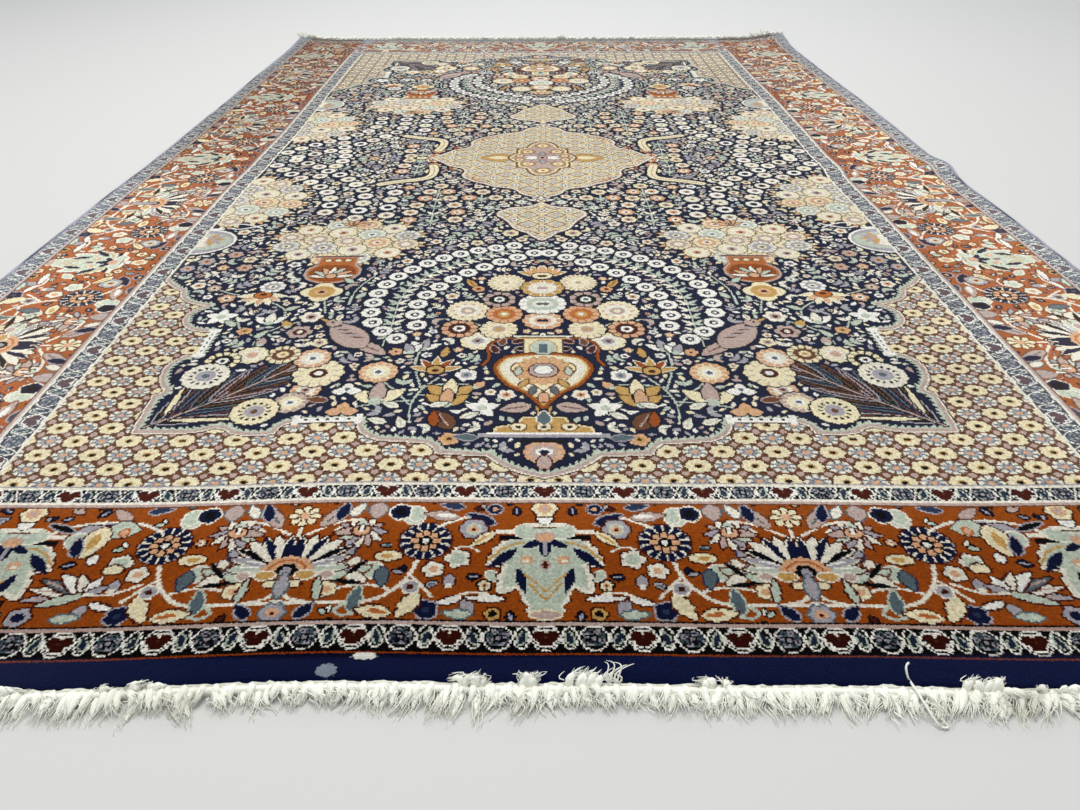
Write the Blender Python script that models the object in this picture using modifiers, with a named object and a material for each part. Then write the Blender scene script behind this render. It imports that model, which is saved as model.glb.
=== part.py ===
"""Persian rug: a hand-knotted pile rug lying flat, with its end fringes and overcast edges.

X runs across the rug, Y from the near end to the far end, Z up, in metres.
Design heights (y) are measured from the near edge of the pile.
"""
import math
import random

import bmesh
import bpy

COLLECTION = "persian_rug"

# the pile slab
PILE_LENGTH = 2.213
THICKNESS = 0.008
SHOULDER = 0.0022          # rounding of the pile's upper edge
COLUMNS, ROWS = 22, 48     # cells of the slab, closer together towards its sides

# outline: (along, position) pairs, joined smoothly
LEFT_SIDE = ((0.0, -0.691), (0.35, -0.693), (0.70, -0.694), (0.92, -0.693), (1.10, -0.688),
             (1.26, -0.685), (1.45, -0.688), (1.62, -0.692), (1.90, -0.695), (2.213, -0.696))
RIGHT_SIDE = ((0.0, 0.690), (0.35, 0.692), (0.80, 0.692), (0.99, 0.688), (1.05, 0.694),
              (1.12, 0.690), (1.30, 0.693), (1.50, 0.695), (1.75, 0.692), (2.213, 0.694))
NEAR_END = ((-0.70, -0.001), (-0.36, -0.004), (-0.14, 0.003), (0.0, 0.0005), (0.16, -0.002),
            (0.36, -0.006), (0.70, -0.003))
FAR_END = ((-0.70, 2.218), (-0.45, 2.220), (-0.15, 2.214), (0.12, 2.211), (0.34, 2.207),
           (0.70, 2.211))

# places where the edge stands off the floor: (x, y, reach in x, reach in y, height)
LIFTS = ((0.694, 1.040, 0.075, 0.085, 0.0065),
         (0.700, 2.220, 0.130, 0.150, 0.0140),
         (-0.700, 2.220, 0.140, 0.160, 0.0060),
         (-0.690, 1.290, 0.080, 0.240, 0.0030))

# overcast cord along each side
CORD_WIDTH = 0.0066
CORD_HEIGHT = 0.0070
CORD_SIDES = 8

# fringe: a woven strip with combed locks
STRIP_DEPTH = 0.0050
STRIP_HEIGHT = 0.0048
LOCKS = 120
LOCK_STEPS = 3
LOCK_HEIGHT = 0.0044
LOCK_FILL = 0.74           # root width as a share of the pitch
LOCK_TIP = 0.46            # tip width as a share of the root
LOCK_SWAY = 0.0024         # furthest a tip leans sideways
LOCK_ROOT = 0.0006         # a root leaves the strip this far above the floor
NEAR_LOCKS = (0.0135, 0.0235, 11)   # shortest, longest, seed
FAR_LOCKS = (0.0140, 0.0250, 29)

PART_GAP = 0.0003          # between neighbouring sub-parts
MIDDLE = 0.5 * PILE_LENGTH

MATERIALS = {
    "pile": ((0.115, 0.045, 0.028, 1.0), 0.95),
    "overcast": ((0.035, 0.040, 0.085, 1.0), 0.90),
    "fringe": ((0.72, 0.68, 0.58, 1.0), 0.92),
}


def clear_scene():
    for obj in list(bpy.data.objects):
        bpy.data.objects.remove(obj, do_unlink=True)


def smooth_table(table, at):
    """Value of a table of pairs at one place, eased between its entries."""
    if at <= table[0][0]:
        return table[0][1]
    for (a, va), (b, vb) in zip(table, table[1:]):
        if at <= b:
            t = (at - a) / (b - a)
            return va + (vb - va) * t * t * (3.0 - 2.0 * t)
    return table[-1][1]


def lift(x, y):
    """Height of the rug's underside above the floor."""
    total = 0.0
    for cx, cy, rx, ry, height in LIFTS:
        dx, dy = abs(x - cx) / rx, abs(y - cy) / ry
        if dx < 1.0 and dy < 1.0:
            total += height * (math.cos(0.5 * math.pi * dx) * math.cos(0.5 * math.pi * dy)) ** 2
    return total


def edge_dense(t):
    """0 to 1 with its steps closer together at both ends."""
    return 0.45 * t + 0.55 * (0.5 - 0.5 * math.cos(math.pi * t))


def across(row, column):
    """Place on the outline's net: row and column run from 0 to 1, or name a side cord."""
    y = row * PILE_LENGTH
    left, right = smooth_table(LEFT_SIDE, y), smooth_table(RIGHT_SIDE, y)
    inset = CORD_WIDTH + PART_GAP
    if column == "left":
        x = left + 0.5 * CORD_WIDTH
    elif column == "right":
        x = right - 0.5 * CORD_WIDTH
    else:
        x = left + inset + (right - left - 2.0 * inset) * edge_dense(column)
    near, far = smooth_table(NEAR_END, x), smooth_table(FAR_END, x)
    return x, near + (far - near) * row


def finish(obj, material):
    """Give an object its material, outward faces and a place in the rug's collection."""
    mesh = obj.data
    work = bmesh.new()
    work.from_mesh(mesh)
    bmesh.ops.remove_doubles(work, verts=work.verts, dist=1e-6)
    bmesh.ops.recalc_face_normals(work, faces=work.faces)
    work.to_mesh(mesh)
    work.free()
    mesh.materials.clear()
    mesh.materials.append(material)
    return obj


def applied(obj):
    """Bake an object's modifiers, or a curve's bevel, into a plain mesh object."""
    graph = bpy.context.evaluated_depsgraph_get()
    mesh = bpy.data.meshes.new_from_object(obj.evaluated_get(graph))
    name = obj.name
    bpy.data.objects.remove(obj, do_unlink=True)
    result = bpy.data.objects.new(name, mesh)
    bpy.data.collections[COLLECTION].objects.link(result)
    return result


def linked(name, data):
    obj = bpy.data.objects.new(name, data)
    bpy.data.collections[COLLECTION].objects.link(obj)
    return obj


def make_material(name):
    colour, roughness = MATERIALS[name]
    material = bpy.data.materials.new(name)
    material.use_nodes = True
    shader = material.node_tree.nodes["Principled BSDF"]
    shader.inputs["Base Color"].default_value = colour
    shader.inputs["Roughness"].default_value = roughness
    material.diffuse_color = colour
    return material


def rug_body(material):
    """The pile slab: a grid drawn to the outline, thickened, with a rounded upper edge."""
    work = bmesh.new()
    bmesh.ops.create_grid(work, x_segments=COLUMNS, y_segments=ROWS, size=0.5)
    for vert in work.verts:
        x, y = across(vert.co.y + 0.5, vert.co.x + 0.5)
        vert.co = (x, y - MIDDLE, lift(x, y))
    mesh = bpy.data.meshes.new("rug_body")
    work.to_mesh(mesh)
    work.free()
    obj = linked("rug_body", mesh)

    solid = obj.modifiers.new("thickness", "SOLIDIFY")
    solid.thickness = THICKNESS
    solid.offset = 1.0
    obj = applied(obj)

    work = bmesh.new()
    work.from_mesh(obj.data)
    work.normal_update()
    rim = [edge for edge in work.edges
           if len(edge.link_faces) == 2 and edge.calc_face_angle() > 1.0
           and min(face.normal.z for face in edge.link_faces) > -0.5]
    bmesh.ops.bevel(work, geom=rim, offset=SHOULDER, segments=2, profile=0.5,
                    affect="EDGES", clamp_overlap=True)
    work.to_mesh(obj.data)
    work.free()
    return finish(obj, material)


def profile_curve(name, points):
    """A closed outline for a curve to be bevelled with, hidden from view."""
    curve = bpy.data.curves.new(name, "CURVE")
    curve.dimensions = "2D"
    spline = curve.splines.new("POLY")
    spline.points.add(len(points) - 1)
    for point, (x, y) in zip(spline.points, points):
        point.co = (x, y, 0.0, 1.0)
    spline.use_cyclic_u = True
    obj = linked(name, curve)
    obj.hide_render = True
    return obj


def swept(name, paths, profile):
    """Closed tubes along paths of (x, y, z, radius), each drawn with the same profile."""
    curve = bpy.data.curves.new(name, "CURVE")
    curve.dimensions = "3D"
    curve.twist_mode = "Z_UP"
    curve.bevel_mode = "OBJECT"
    curve.bevel_object = profile
    curve.use_fill_caps = True
    for path in paths:
        spline = curve.splines.new("POLY")
        spline.points.add(len(path) - 1)
        for point, (x, y, z, radius) in zip(spline.points, path):
            point.co = (x, y - MIDDLE, z, 1.0)
            point.radius = radius
    obj = applied(linked(name, curve))
    work = bmesh.new()
    work.from_mesh(obj.data)
    bmesh.ops.remove_doubles(work, verts=work.verts, dist=1e-6)
    bmesh.ops.recalc_face_normals(work, faces=work.faces)
    work.to_mesh(obj.data)
    work.free()
    return obj


def selvedge(name, side, material):
    """Wool cord overcast along one side, standing on a flat foot."""
    step = 2.0 * math.pi / CORD_SIDES
    reach = math.cos(0.5 * step)
    ring = [(0.5 * CORD_WIDTH * math.cos(step * (k + 0.5)) / reach,
             0.5 * CORD_HEIGHT * (1.0 + math.sin(step * (k + 0.5)) / reach))
            for k in range(CORD_SIDES)]
    profile = profile_curve(name + "_profile", ring)
    places = [across(k / ROWS, side) for k in range(ROWS + 1)]
    obj = swept(name, [[(x, y, lift(x, y), 1.0) for x, y in places]], profile)
    bpy.data.objects.remove(profile, do_unlink=True)
    return finish(obj, material)


def fringe(name, end, table, lock_sizes, material):
    """Woven end strip and the combed locks that grow out of it, lying on the floor."""
    shortest, longest, seed = lock_sizes
    rng = random.Random(seed)
    row = 0.0 if end < 0 else 1.0
    left = smooth_table(LEFT_SIDE, row * PILE_LENGTH)
    right = smooth_table(RIGHT_SIDE, row * PILE_LENGTH)

    half = 0.5 * STRIP_DEPTH
    strip_profile = profile_curve(name + "_strip", [
        (-half, 0.0), (half, 0.0), (half, 0.8 * STRIP_HEIGHT), (0.7 * half, STRIP_HEIGHT),
        (-0.7 * half, STRIP_HEIGHT), (-half, 0.8 * STRIP_HEIGHT)])
    places = [(left, smooth_table(table, left))]
    places += [across(row, k / COLUMNS) for k in range(COLUMNS + 1)]
    places += [(right, smooth_table(table, right))]
    strip = swept(name, [[(x, y + end * (PART_GAP + half), lift(x, y), 1.0)
                          for x, y in places]], strip_profile)

    pitch = (right - left) / LOCKS
    width = 0.5 * LOCK_FILL * pitch
    lock_profile = profile_curve(name + "_lock", [
        (-width, 0.0), (width, 0.0), (0.62 * width, LOCK_HEIGHT), (-0.62 * width, LOCK_HEIGHT)])
    paths = []
    clump = rng.random()
    for k in range(LOCKS):
        if rng.random() < 0.35:
            clump = rng.random()
        share = 0.65 * clump + 0.35 * rng.random()
        length = half + shortest + (longest - shortest) * share
        lean = rng.uniform(-LOCK_SWAY, LOCK_SWAY)
        root = left + pitch * (k + 0.5)
        start = smooth_table(table, root)
        raised = lift(root, start)
        path = []
        for step in range(LOCK_STEPS + 1):
            t = step / LOCK_STEPS
            path.append((root + lean * t * t,
                         start + end * (PART_GAP + half + length * t),
                         raised * (1.0 - 0.8 * t) + (LOCK_ROOT if step == 0 else 0.0),
                         1.0 + (LOCK_TIP - 1.0) * t ** 1.5))
        paths.append(path)
    locks = swept(name + "_locks", paths, lock_profile)

    join = strip.modifiers.new("join", "BOOLEAN")
    join.operation = "UNION"
    join.solver = "EXACT"
    join.object = locks
    obj = applied(strip)
    for helper in (locks, strip_profile, lock_profile):
        bpy.data.objects.remove(helper, do_unlink=True)
    obj.name = name
    return finish(obj, material)


def recentre(objects):
    """Put the origin under the middle of the whole rug, on the floor."""
    corners = [vert.co for obj in objects for vert in obj.data.vertices]
    low = [min(co[axis] for co in corners) for axis in range(3)]
    high = [max(co[axis] for co in corners) for axis in range(3)]
    shift = (-0.5 * (low[0] + high[0]), -0.5 * (low[1] + high[1]), -low[2])
    for obj in objects:
        for vert in obj.data.vertices:
            vert.co = [vert.co[axis] + shift[axis] for axis in range(3)]
    print("rug box", [round(high[a] - low[a], 5) for a in range(3)],
          "shift", [round(s, 6) for s in shift])


def main():
    clear_scene()
    bpy.context.scene.collection.children.link(bpy.data.collections.new(COLLECTION))
    materials = {name: make_material(name) for name in MATERIALS}
    objects = [
        rug_body(materials["pile"]),
        selvedge("selvedge_left", "left", materials["overcast"]),
        selvedge("selvedge_right", "right", materials["overcast"]),
        fringe("fringe_near", -1.0, NEAR_END, NEAR_LOCKS, materials["fringe"]),
        fringe("fringe_far", 1.0, FAR_END, FAR_LOCKS, materials["fringe"]),
    ]
    recentre(objects)
    for obj in objects:
        obj.data.name = obj.name
        print(obj.name, len(obj.data.polygons))


main()
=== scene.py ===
"""Persian rug: knotted pile, overcast side cords, combed end fringes and the stage.

X runs across the rug, Y from the near end to the far one, Z up, in metres. The knot
chart is drawn in millimetres on one quarter of the rug and mirrored.
"""
import math
import random

import bmesh
import bpy
import numpy as np
from mathutils import Matrix, Vector, noise


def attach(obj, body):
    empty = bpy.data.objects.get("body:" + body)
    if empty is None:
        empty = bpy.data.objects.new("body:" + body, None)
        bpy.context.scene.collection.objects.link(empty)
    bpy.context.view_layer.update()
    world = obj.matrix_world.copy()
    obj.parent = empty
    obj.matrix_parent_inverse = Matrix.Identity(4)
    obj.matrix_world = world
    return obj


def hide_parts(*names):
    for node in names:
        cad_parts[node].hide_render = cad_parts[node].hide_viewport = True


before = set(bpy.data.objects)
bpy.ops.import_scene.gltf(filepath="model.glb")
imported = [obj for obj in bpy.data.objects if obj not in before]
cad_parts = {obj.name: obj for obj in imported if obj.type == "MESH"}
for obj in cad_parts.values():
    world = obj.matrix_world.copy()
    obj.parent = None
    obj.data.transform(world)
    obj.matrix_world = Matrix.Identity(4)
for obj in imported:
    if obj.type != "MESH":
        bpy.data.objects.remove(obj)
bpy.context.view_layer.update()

bl_info = {
    "name": "Persian rug",
    "version": (1, 0, 0),
    "blender": (4, 5, 0),
    "location": "View3D > Sidebar > Rug",
    "description": "Dresses the knotted rug: pile, side cords, fringes and stage",
    "category": "Object",
}

# outline, as on the frame: (along, position) pairs, joined smoothly
LENGTH = 2.213
SHIFT = (0.000533, -1.107888)
LEFT_SIDE = ((0.0, -0.691), (0.35, -0.693), (0.70, -0.694), (0.92, -0.693), (1.10, -0.688),
             (1.26, -0.685), (1.45, -0.688), (1.62, -0.692), (1.90, -0.695), (2.213, -0.696))
RIGHT_SIDE = ((0.0, 0.690), (0.35, 0.692), (0.80, 0.692), (0.99, 0.688), (1.05, 0.694),
              (1.12, 0.690), (1.30, 0.693), (1.50, 0.695), (1.75, 0.692), (2.213, 0.694))
NEAR_END = ((-0.70, -0.001), (-0.36, -0.004), (-0.14, 0.003), (0.0, 0.0005), (0.16, -0.002),
            (0.36, -0.006), (0.70, -0.003))
FAR_END = ((-0.70, 2.218), (-0.45, 2.220), (-0.15, 2.214), (0.12, 2.211), (0.34, 2.207),
           (0.70, 2.211))
# places where the edge stands off the floor: (x, y, reach in x, reach in y, height)
LIFTS = ((0.694, 1.040, 0.075, 0.085, 0.0065),
         (0.700, 2.220, 0.130, 0.150, 0.0140),
         (-0.700, 2.220, 0.140, 0.160, 0.0060),
         (-0.690, 1.290, 0.080, 0.240, 0.0030))

# one quarter of the knot chart, in millimetres and in knots
QUARTER_WIDE, QUARTER_LONG = 687.0, 1106.5
QUARTER_COLUMNS, QUARTER_ROWS = 435, 699
# each face of the pile carries a block of this many knots each way
BLOCK = 6
# a motif's outline is about one knot wide
OUTLINE = 1.7
# places closer together than this are one place
TINY = 1e-6

# wool colours, numbered as the chart uses them
(NAVY, INK, RUST, MAROON, BROWN, IVORY, CREAM, GOLD,
 PEACH, ROSE, CELADON, STEEL, SLATE, LILAC, WHITE, ORANGE) = range(16)
WOOL = (
    ("navy", "Field and end bands", 0x0D1638), ("ink", "Guard ground and outlines", 0x06080F),
    ("rust", "Ground of the main border", 0x9C4C12), ("maroon", "Outlines and guard flowers", 0x4A180E),
    ("brown", "Lattice ground", 0x6E452C), ("ivory", "Stems and petals", 0xF0EAD8),
    ("cream", "Lattice flowers", 0xF0E4BE), ("gold", "Vase and centres", 0xCCA25E),
    ("peach", "Flower hearts", 0xDEAE88), ("rose", "Edge lines", 0xC2AAA0),
    ("celadon", "Palmettes and leaves", 0xC4CEBC), ("steel", "Guard buds", 0x5C6C72),
    ("slate", "Rosette petals", 0x2C3650), ("lilac", "Pale leaves", 0xACA8AE),
    ("white", "Ringlets", 0xF6F3EA), ("orange", "Arabesques", 0xBE6E36),
)
WOOLS = 16.0


def linear(code):
    """Colour from a six-digit code, as the shader's own light values."""
    channels = ((code >> shift & 255) / 255.0 for shift in (16, 8, 0))
    return tuple(c / 12.92 if c <= 0.04045 else ((c + 0.055) / 1.055) ** 2.4 for c in channels)


def solid(code):
    """The same colour with full cover, as a socket takes it."""
    return (*linear(code), 1.0)


# ---- the knot chart

class Chart:
    """One quarter of the design: a wool number for each knot, placed in millimetres."""

    def __init__(self, ground):
        wide, long = QUARTER_WIDE / QUARTER_COLUMNS, QUARTER_LONG / QUARTER_ROWS
        self.x = (np.arange(QUARTER_COLUMNS) + 0.5) * QUARTER_WIDE / QUARTER_COLUMNS
        self.y = (np.arange(QUARTER_ROWS) + 0.5) * QUARTER_LONG / QUARTER_ROWS
        self.pitch = 0.5 * (wide + long)
        self.knots = np.full((QUARTER_ROWS, QUARTER_COLUMNS), ground, np.int64)

    def brush(self, x, y, turn=0.0, wide=1.0, high=1.0):
        """A brush at a place on the quarter, turned and stretched."""
        return Brush(self, (0.0, 0.0), np.eye(2)).at(x, y, turn, wide, high)

    def mesh(self):
        """The places of all the knots."""
        return np.meshgrid(self.x, self.y)


class Brush:
    """Draws motifs about one place on the chart, in the motif's own millimetres."""

    def __init__(self, chart, origin, axes):
        self.chart, self.origin, self.axes = chart, np.array(origin), axes
        self.inverse = np.linalg.inv(axes)
        self.stretch = np.abs(np.linalg.svd(axes, compute_uv=False)).max()

    def at(self, p, q, turn=0.0, wide=1.0, high=None):
        """A brush at a place beside this one, turned and stretched against it."""
        high = wide if high is None else high
        c, s = math.cos(math.radians(turn)), math.sin(math.radians(turn))
        axes = self.axes @ np.array(((c, -s), (s, c))) @ np.diag((wide, high))
        return Brush(self.chart, self.origin + self.axes @ (p, q), axes)

    def near(self, p, q, reach):
        """The knots around a place, and how far each lies from it."""
        chart = self.chart
        x, y = self.origin + self.axes @ (p, q)
        reach = reach * self.stretch + chart.pitch
        i0, i1 = np.searchsorted(chart.x, (x - reach, x + reach))
        j0, j1 = np.searchsorted(chart.y, (y - reach, y + reach))
        dx, dy = np.meshgrid(chart.x[i0:i1] - x, chart.y[j0:j1] - y)
        m = self.inverse
        return chart.knots[j0:j1, i0:i1], m[0, 0] * dx + m[0, 1] * dy, m[1, 0] * dx + m[1, 1] * dy

    def oval(self, p, q, rp, rq, colour, edge=None):
        """Oval with its half widths along p and q."""
        knots, dp, dq = self.near(p, q, max(rp, rq) + 2.0)
        if edge is not None:
            knots[(dp / (rp + OUTLINE)) ** 2 + (dq / (rq + OUTLINE)) ** 2 < 1.0] = edge
        knots[(dp / rp) ** 2 + (dq / rq) ** 2 < 1.0] = colour

    def box(self, p, q, hp, hq, colour):
        """Rectangle with its half widths along p and q."""
        knots, dp, dq = self.near(p, q, math.hypot(hp, hq))
        knots[(np.abs(dp) < hp) & (np.abs(dq) < hq)] = colour

    def flower(self, p, q, r, petals, colour, *rings, edge=INK, seams=None, notch=0.14):
        """Scalloped flower with inner rings of (share of the radius, colour), the widest first."""
        knots, dp, dq = self.near(p, q, r + 2.0)
        radius = np.hypot(dp, dq)
        angle = np.arctan2(dq, dp)
        rim = r * (1.0 - notch * (1.0 - np.abs(np.cos(0.5 * petals * angle))))
        if edge is not None:
            knots[radius < rim + OUTLINE] = edge
        knots[radius < rim] = colour
        if seams is not None:
            seam = np.abs(np.sin(0.5 * petals * angle + 0.5 * math.pi)) * radius * 2.0 / petals
            knots[(radius < rim) & (seam < 0.8)] = seams
        for share, inner in rings:
            knots[radius < share * r] = inner

    def leaf(self, p, q, length, width, turn, colour, edge=None, vein=None, teeth=0):
        """Pointed leaf whose stalk end is at p, q; turn 0 points it up, 90 to the left."""
        there = self.at(p, q, turn)
        knots, dp, dq = there.near(0.0, 0.5 * length, 0.5 * length + width)
        along = np.clip(dq / length + 0.5, 0.0, 1.0)
        inside = (dq > -0.5 * length) & (dq < 0.5 * length)
        half = 0.5 * width * np.sin(math.pi * along ** 0.8) ** 0.8
        if teeth:
            half = half * (0.78 + 0.22 * np.abs(np.sin(math.pi * teeth * along)))
        if edge is not None:
            knots[(np.abs(dp) < half + OUTLINE) & (np.abs(dq) < 0.5 * length + 1.2)] = edge
        knots[(np.abs(dp) < half) & inside] = colour
        if vein is not None:
            knots[(np.abs(dp) < 0.9) & (np.abs(dq) < 0.34 * length)] = vein

    def line(self, points, width, colour):
        """A stem through the given places, eased round its bends."""
        points = np.array(points, float)
        for _ in range(2):
            mid = 0.5 * (points[1:] + points[:-1])
            cut = [points[0]]
            for k in range(len(mid) - 1):
                cut += [mid[k] * 0.5 + points[k + 1] * 0.5, mid[k + 1] * 0.5 + points[k + 1] * 0.5]
            points = np.array(cut + [points[-1]])
        for a, b in zip(points, points[1:]):
            span = b - a
            size = float(np.hypot(*span))
            if size < TINY:
                continue
            knots, dp, dq = self.near(*(0.5 * (a + b)), 0.5 * size + width)
            t = np.clip((dp * span[0] + dq * span[1]) / size ** 2, -0.5, 0.5)
            knots[np.hypot(dp - t * span[0], dq - t * span[1]) < 0.5 * width] = colour

    def free(self, reach, ground):
        """Whether the round place under the brush still shows nothing but ground."""
        knots, dp, dq = self.near(0, 0, reach)
        spot = np.hypot(dp, dq) < reach
        return spot.any() and bool((knots[spot] == ground).all())


# ---- small motifs, each drawn with a brush already at its place

def around(count, reach, first=0.0):
    """Places at even turns round a ring."""
    for k in range(count):
        turn = math.radians(360.0 / count * k + first)
        yield reach * math.cos(turn), reach * math.sin(turn)


def ringlet(b, r):
    """Small white ring with a navy gap round its eye."""
    b.flower(0, 0, r, 8, WHITE, (0.42, NAVY), (0.2, WHITE), notch=0.08)


def bud(b, colour, cup, r, edge=INK):
    """Closed flower in a round cup."""
    b.leaf(0, -r, 2.3 * r, 1.5 * r, 0, colour, edge=edge)
    b.oval(0, -0.7 * r, 0.5 * r, 0.45 * r, cup)


def tulip(b, r, outer, inner):
    """Three long petals on a small cup."""
    for turn in (-48, 48):
        b.leaf(0, -0.8 * r, 1.9 * r, 0.9 * r, turn, outer, edge=INK)
    b.leaf(0, -0.8 * r, 2.0 * r, 0.9 * r, 0, inner, edge=INK)
    b.oval(0, -0.7 * r, 0.4 * r, 0.35 * r, CELADON)


def star(b, r):
    """White flower of five pointed petals."""
    for edge in (INK, None):
        for k in range(5):
            b.leaf(0, 0, r, 0.62 * r, 72.0 * k, WHITE, edge=edge)
    b.oval(0, 0, 0.26 * r, 0.26 * r, CELADON)


def trefoil(b, r, colour=WHITE, heart=STEEL):
    """Three broad petals, the middle one upright."""
    for edge in (INK, None):
        for turn in (90, 0, -90):
            b.leaf(0, -0.3 * r, 1.15 * r, 0.95 * r, turn, colour, edge=edge)
    b.oval(0, 0, 0.2 * r, 0.25 * r, heart)


def fan(b, r, petals, colours, heart, spread):
    """Palmette of petals opening upward from a rounded heart."""
    turns = [spread * (k / (petals - 1) - 0.5) for k in range(petals)]
    for turn in turns:
        b.leaf(0, -0.35 * r, 1.35 * r, 0.5 * r, turn, IVORY, edge=INK)
    for k, turn in enumerate(turns):
        b.leaf(0, -0.35 * r, 1.22 * r, 0.36 * r, turn, colours[k % len(colours)])
    b.oval(0, -0.3 * r, 0.42 * r, 0.36 * r, heart, edge=INK)
    b.oval(0, -0.36 * r, 0.16 * r, 0.14 * r, MAROON)


def layered(b, r, outer, mid, heart, eye, petals, edge=INK):
    """Round flower of many petals with three rings inside one another."""
    b.flower(0, 0, r, petals, outer, (0.62, mid), (0.34, heart), (0.16, eye),
             edge=edge, seams=mid if mid != outer else ROSE, notch=0.1)


def wheel(b, r, outer, mid, eye):
    """Pale wheel with a ring of short dark marks, as round the palm corners."""
    b.flower(0, 0, r, 18, outer, notch=0.06)
    knots, dp, dq = b.near(0, 0, r)
    radius, angle = np.hypot(dp, dq), np.arctan2(dq, dp)
    knots[(radius > 0.5 * r) & (radius < 0.68 * r) & (np.cos(14 * angle) > 0.2)] = INK
    b.oval(0, 0, 0.42 * r, 0.42 * r, mid)
    b.oval(0, 0, 0.16 * r, 0.16 * r, eye)


def blossom(b, r, petals, outer, heart, eye, edge=INK):
    """Small flower of rounded petals."""
    b.flower(0, 0, r, petals, outer, (0.5, heart), (0.24, eye), edge=edge, notch=0.24)


# ---- the guards: a maroon flower and a navy rosette in turn, drawn along p on a strip 24 mm wide

# half a repeat of a guard
GUARD_HALF = 33.5


def guard_repeat(b):
    """Half a repeat of a guard, from its maroon flower at 0 to its navy rosette."""
    half = GUARD_HALF
    for s in (-1, 1):
        b.line(((0, 11.4 * s), (0.17 * half, 10.9 * s), (0.33 * half, 0), (0.41 * half, -10 * s),
                (0.59 * half, -10 * s), (0.67 * half, 0), (0.83 * half, 10.9 * s), (half, 11.4 * s)),
               1.45, WHITE)
    b.flower(0, 0, 9.4, 6, WHITE, edge=None)
    for p, q, rp, rq, wool in ((-4.4, 1.8, 4.8, 4.8, MAROON), (4.4, 1.8, 4.8, 4.8, MAROON),
                               (0, -3.2, 5.6, 5.0, MAROON), (0, 5.8, 1.0, 2.4, IVORY),
                               (0, 0.6, 0.9, 1.5, BROWN)):
        b.oval(p, q, rp, rq, wool)
    b.leaf(0.5 * half + 1.5, -7.5, 15.5, 7.4, 14, CELADON)
    b.leaf(0.5 * half + 1.2, -6.5, 13.5, 4.6, 14, SLATE)
    for k, ((p, q), (pp, qq)) in enumerate(zip(around(8, 6.0, 22.5), around(8, 5.6, 22.5))):
        b.oval(half + p, q, 2.5, 2.5, (LILAC, STEEL)[k % 2])
        b.oval(half + pp, qq, 1.3, 1.3, (SLATE, INK)[k % 2])
    b.oval(half, 0, 1.8, 1.8, LILAC)


# ---- the main border, drawn along p with q pointing at the rug's middle; 125 mm wide at the ends

def palmette_wide(b):
    """Big pale palmette with a collar, dark sickle leaves and a serrated skirt."""
    for s in (-1, 1):
        b.leaf(s * 6, 16, 46, 34, s * -122, IVORY, edge=MAROON, teeth=5)
        b.leaf(s * 8, 2, 48, 30, s * -146, IVORY, edge=MAROON, teeth=5)
    b.flower(0, -44, 17, 9, IVORY, edge=MAROON, notch=0.3)
    b.oval(0, -18, 22, 38, IVORY)
    for s in (-1, 1):
        b.leaf(s * 6, 16, 40, 25, s * -122, CELADON)
        b.leaf(s * 8, 2, 41, 21, s * -146, CELADON)
    b.oval(0, -18, 19, 36, CELADON)
    b.flower(0, -45, 13, 9, CELADON, edge=None, notch=0.3)
    for s in (-1, 1):
        b.line(((s * 17, 16), (s * 31, 12), (s * 43, -3)), 2.4, GOLD)
        b.leaf(s * 22, 9, 31, 8.5, s * -134, NAVY)
        b.leaf(s * 21, -12, 26, 8.0, s * 166, NAVY)
        b.oval(s * 14, -3, 5.4, 4.6, PEACH)
        b.oval(s * 15, -4, 2.2, 2.0, IVORY)
        b.line(((s * 15, -18), (s * 7, -27), (0, -35)), 1.8, GOLD)
        b.line(((s * 12, -27), (s * 6, -36), (0, -44)), 1.8, GOLD)
        b.leaf(s * 3, 18, 17, 7.5, s * -118, NAVY)
    b.oval(0, -8, 4.4, 5.8, ROSE, edge=CELADON)
    b.oval(0, -8, 2.4, 3.6, MAROON)
    b.leaf(0, 19, 20, 10.5, 180, NAVY, vein=LILAC)
    for s in (-1, 1):
        b.box(s * 24, 22, 13, 2.2, INK)
        b.box(s * 27, 28, 12, 2.6, IVORY)
        b.oval(s * 11, 29, 13, 8.0, CELADON, edge=IVORY)
    b.box(0, 36, 16, 1.8, IVORY)
    b.box(0, 33, 9, 1.4, BROWN)
    b.oval(0, 22, 6.5, 4.6, PEACH, edge=ROSE)
    b.leaf(0, 36, 18, 12, 0, WHITE, edge=INK)
    b.flower(0, 56, 10.5, 6, CREAM, (0.55, PEACH), (0.28, ROSE), edge=MAROON)
    b.oval(0, -57.5, 11, 3.6, ROSE, edge=CREAM)


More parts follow.
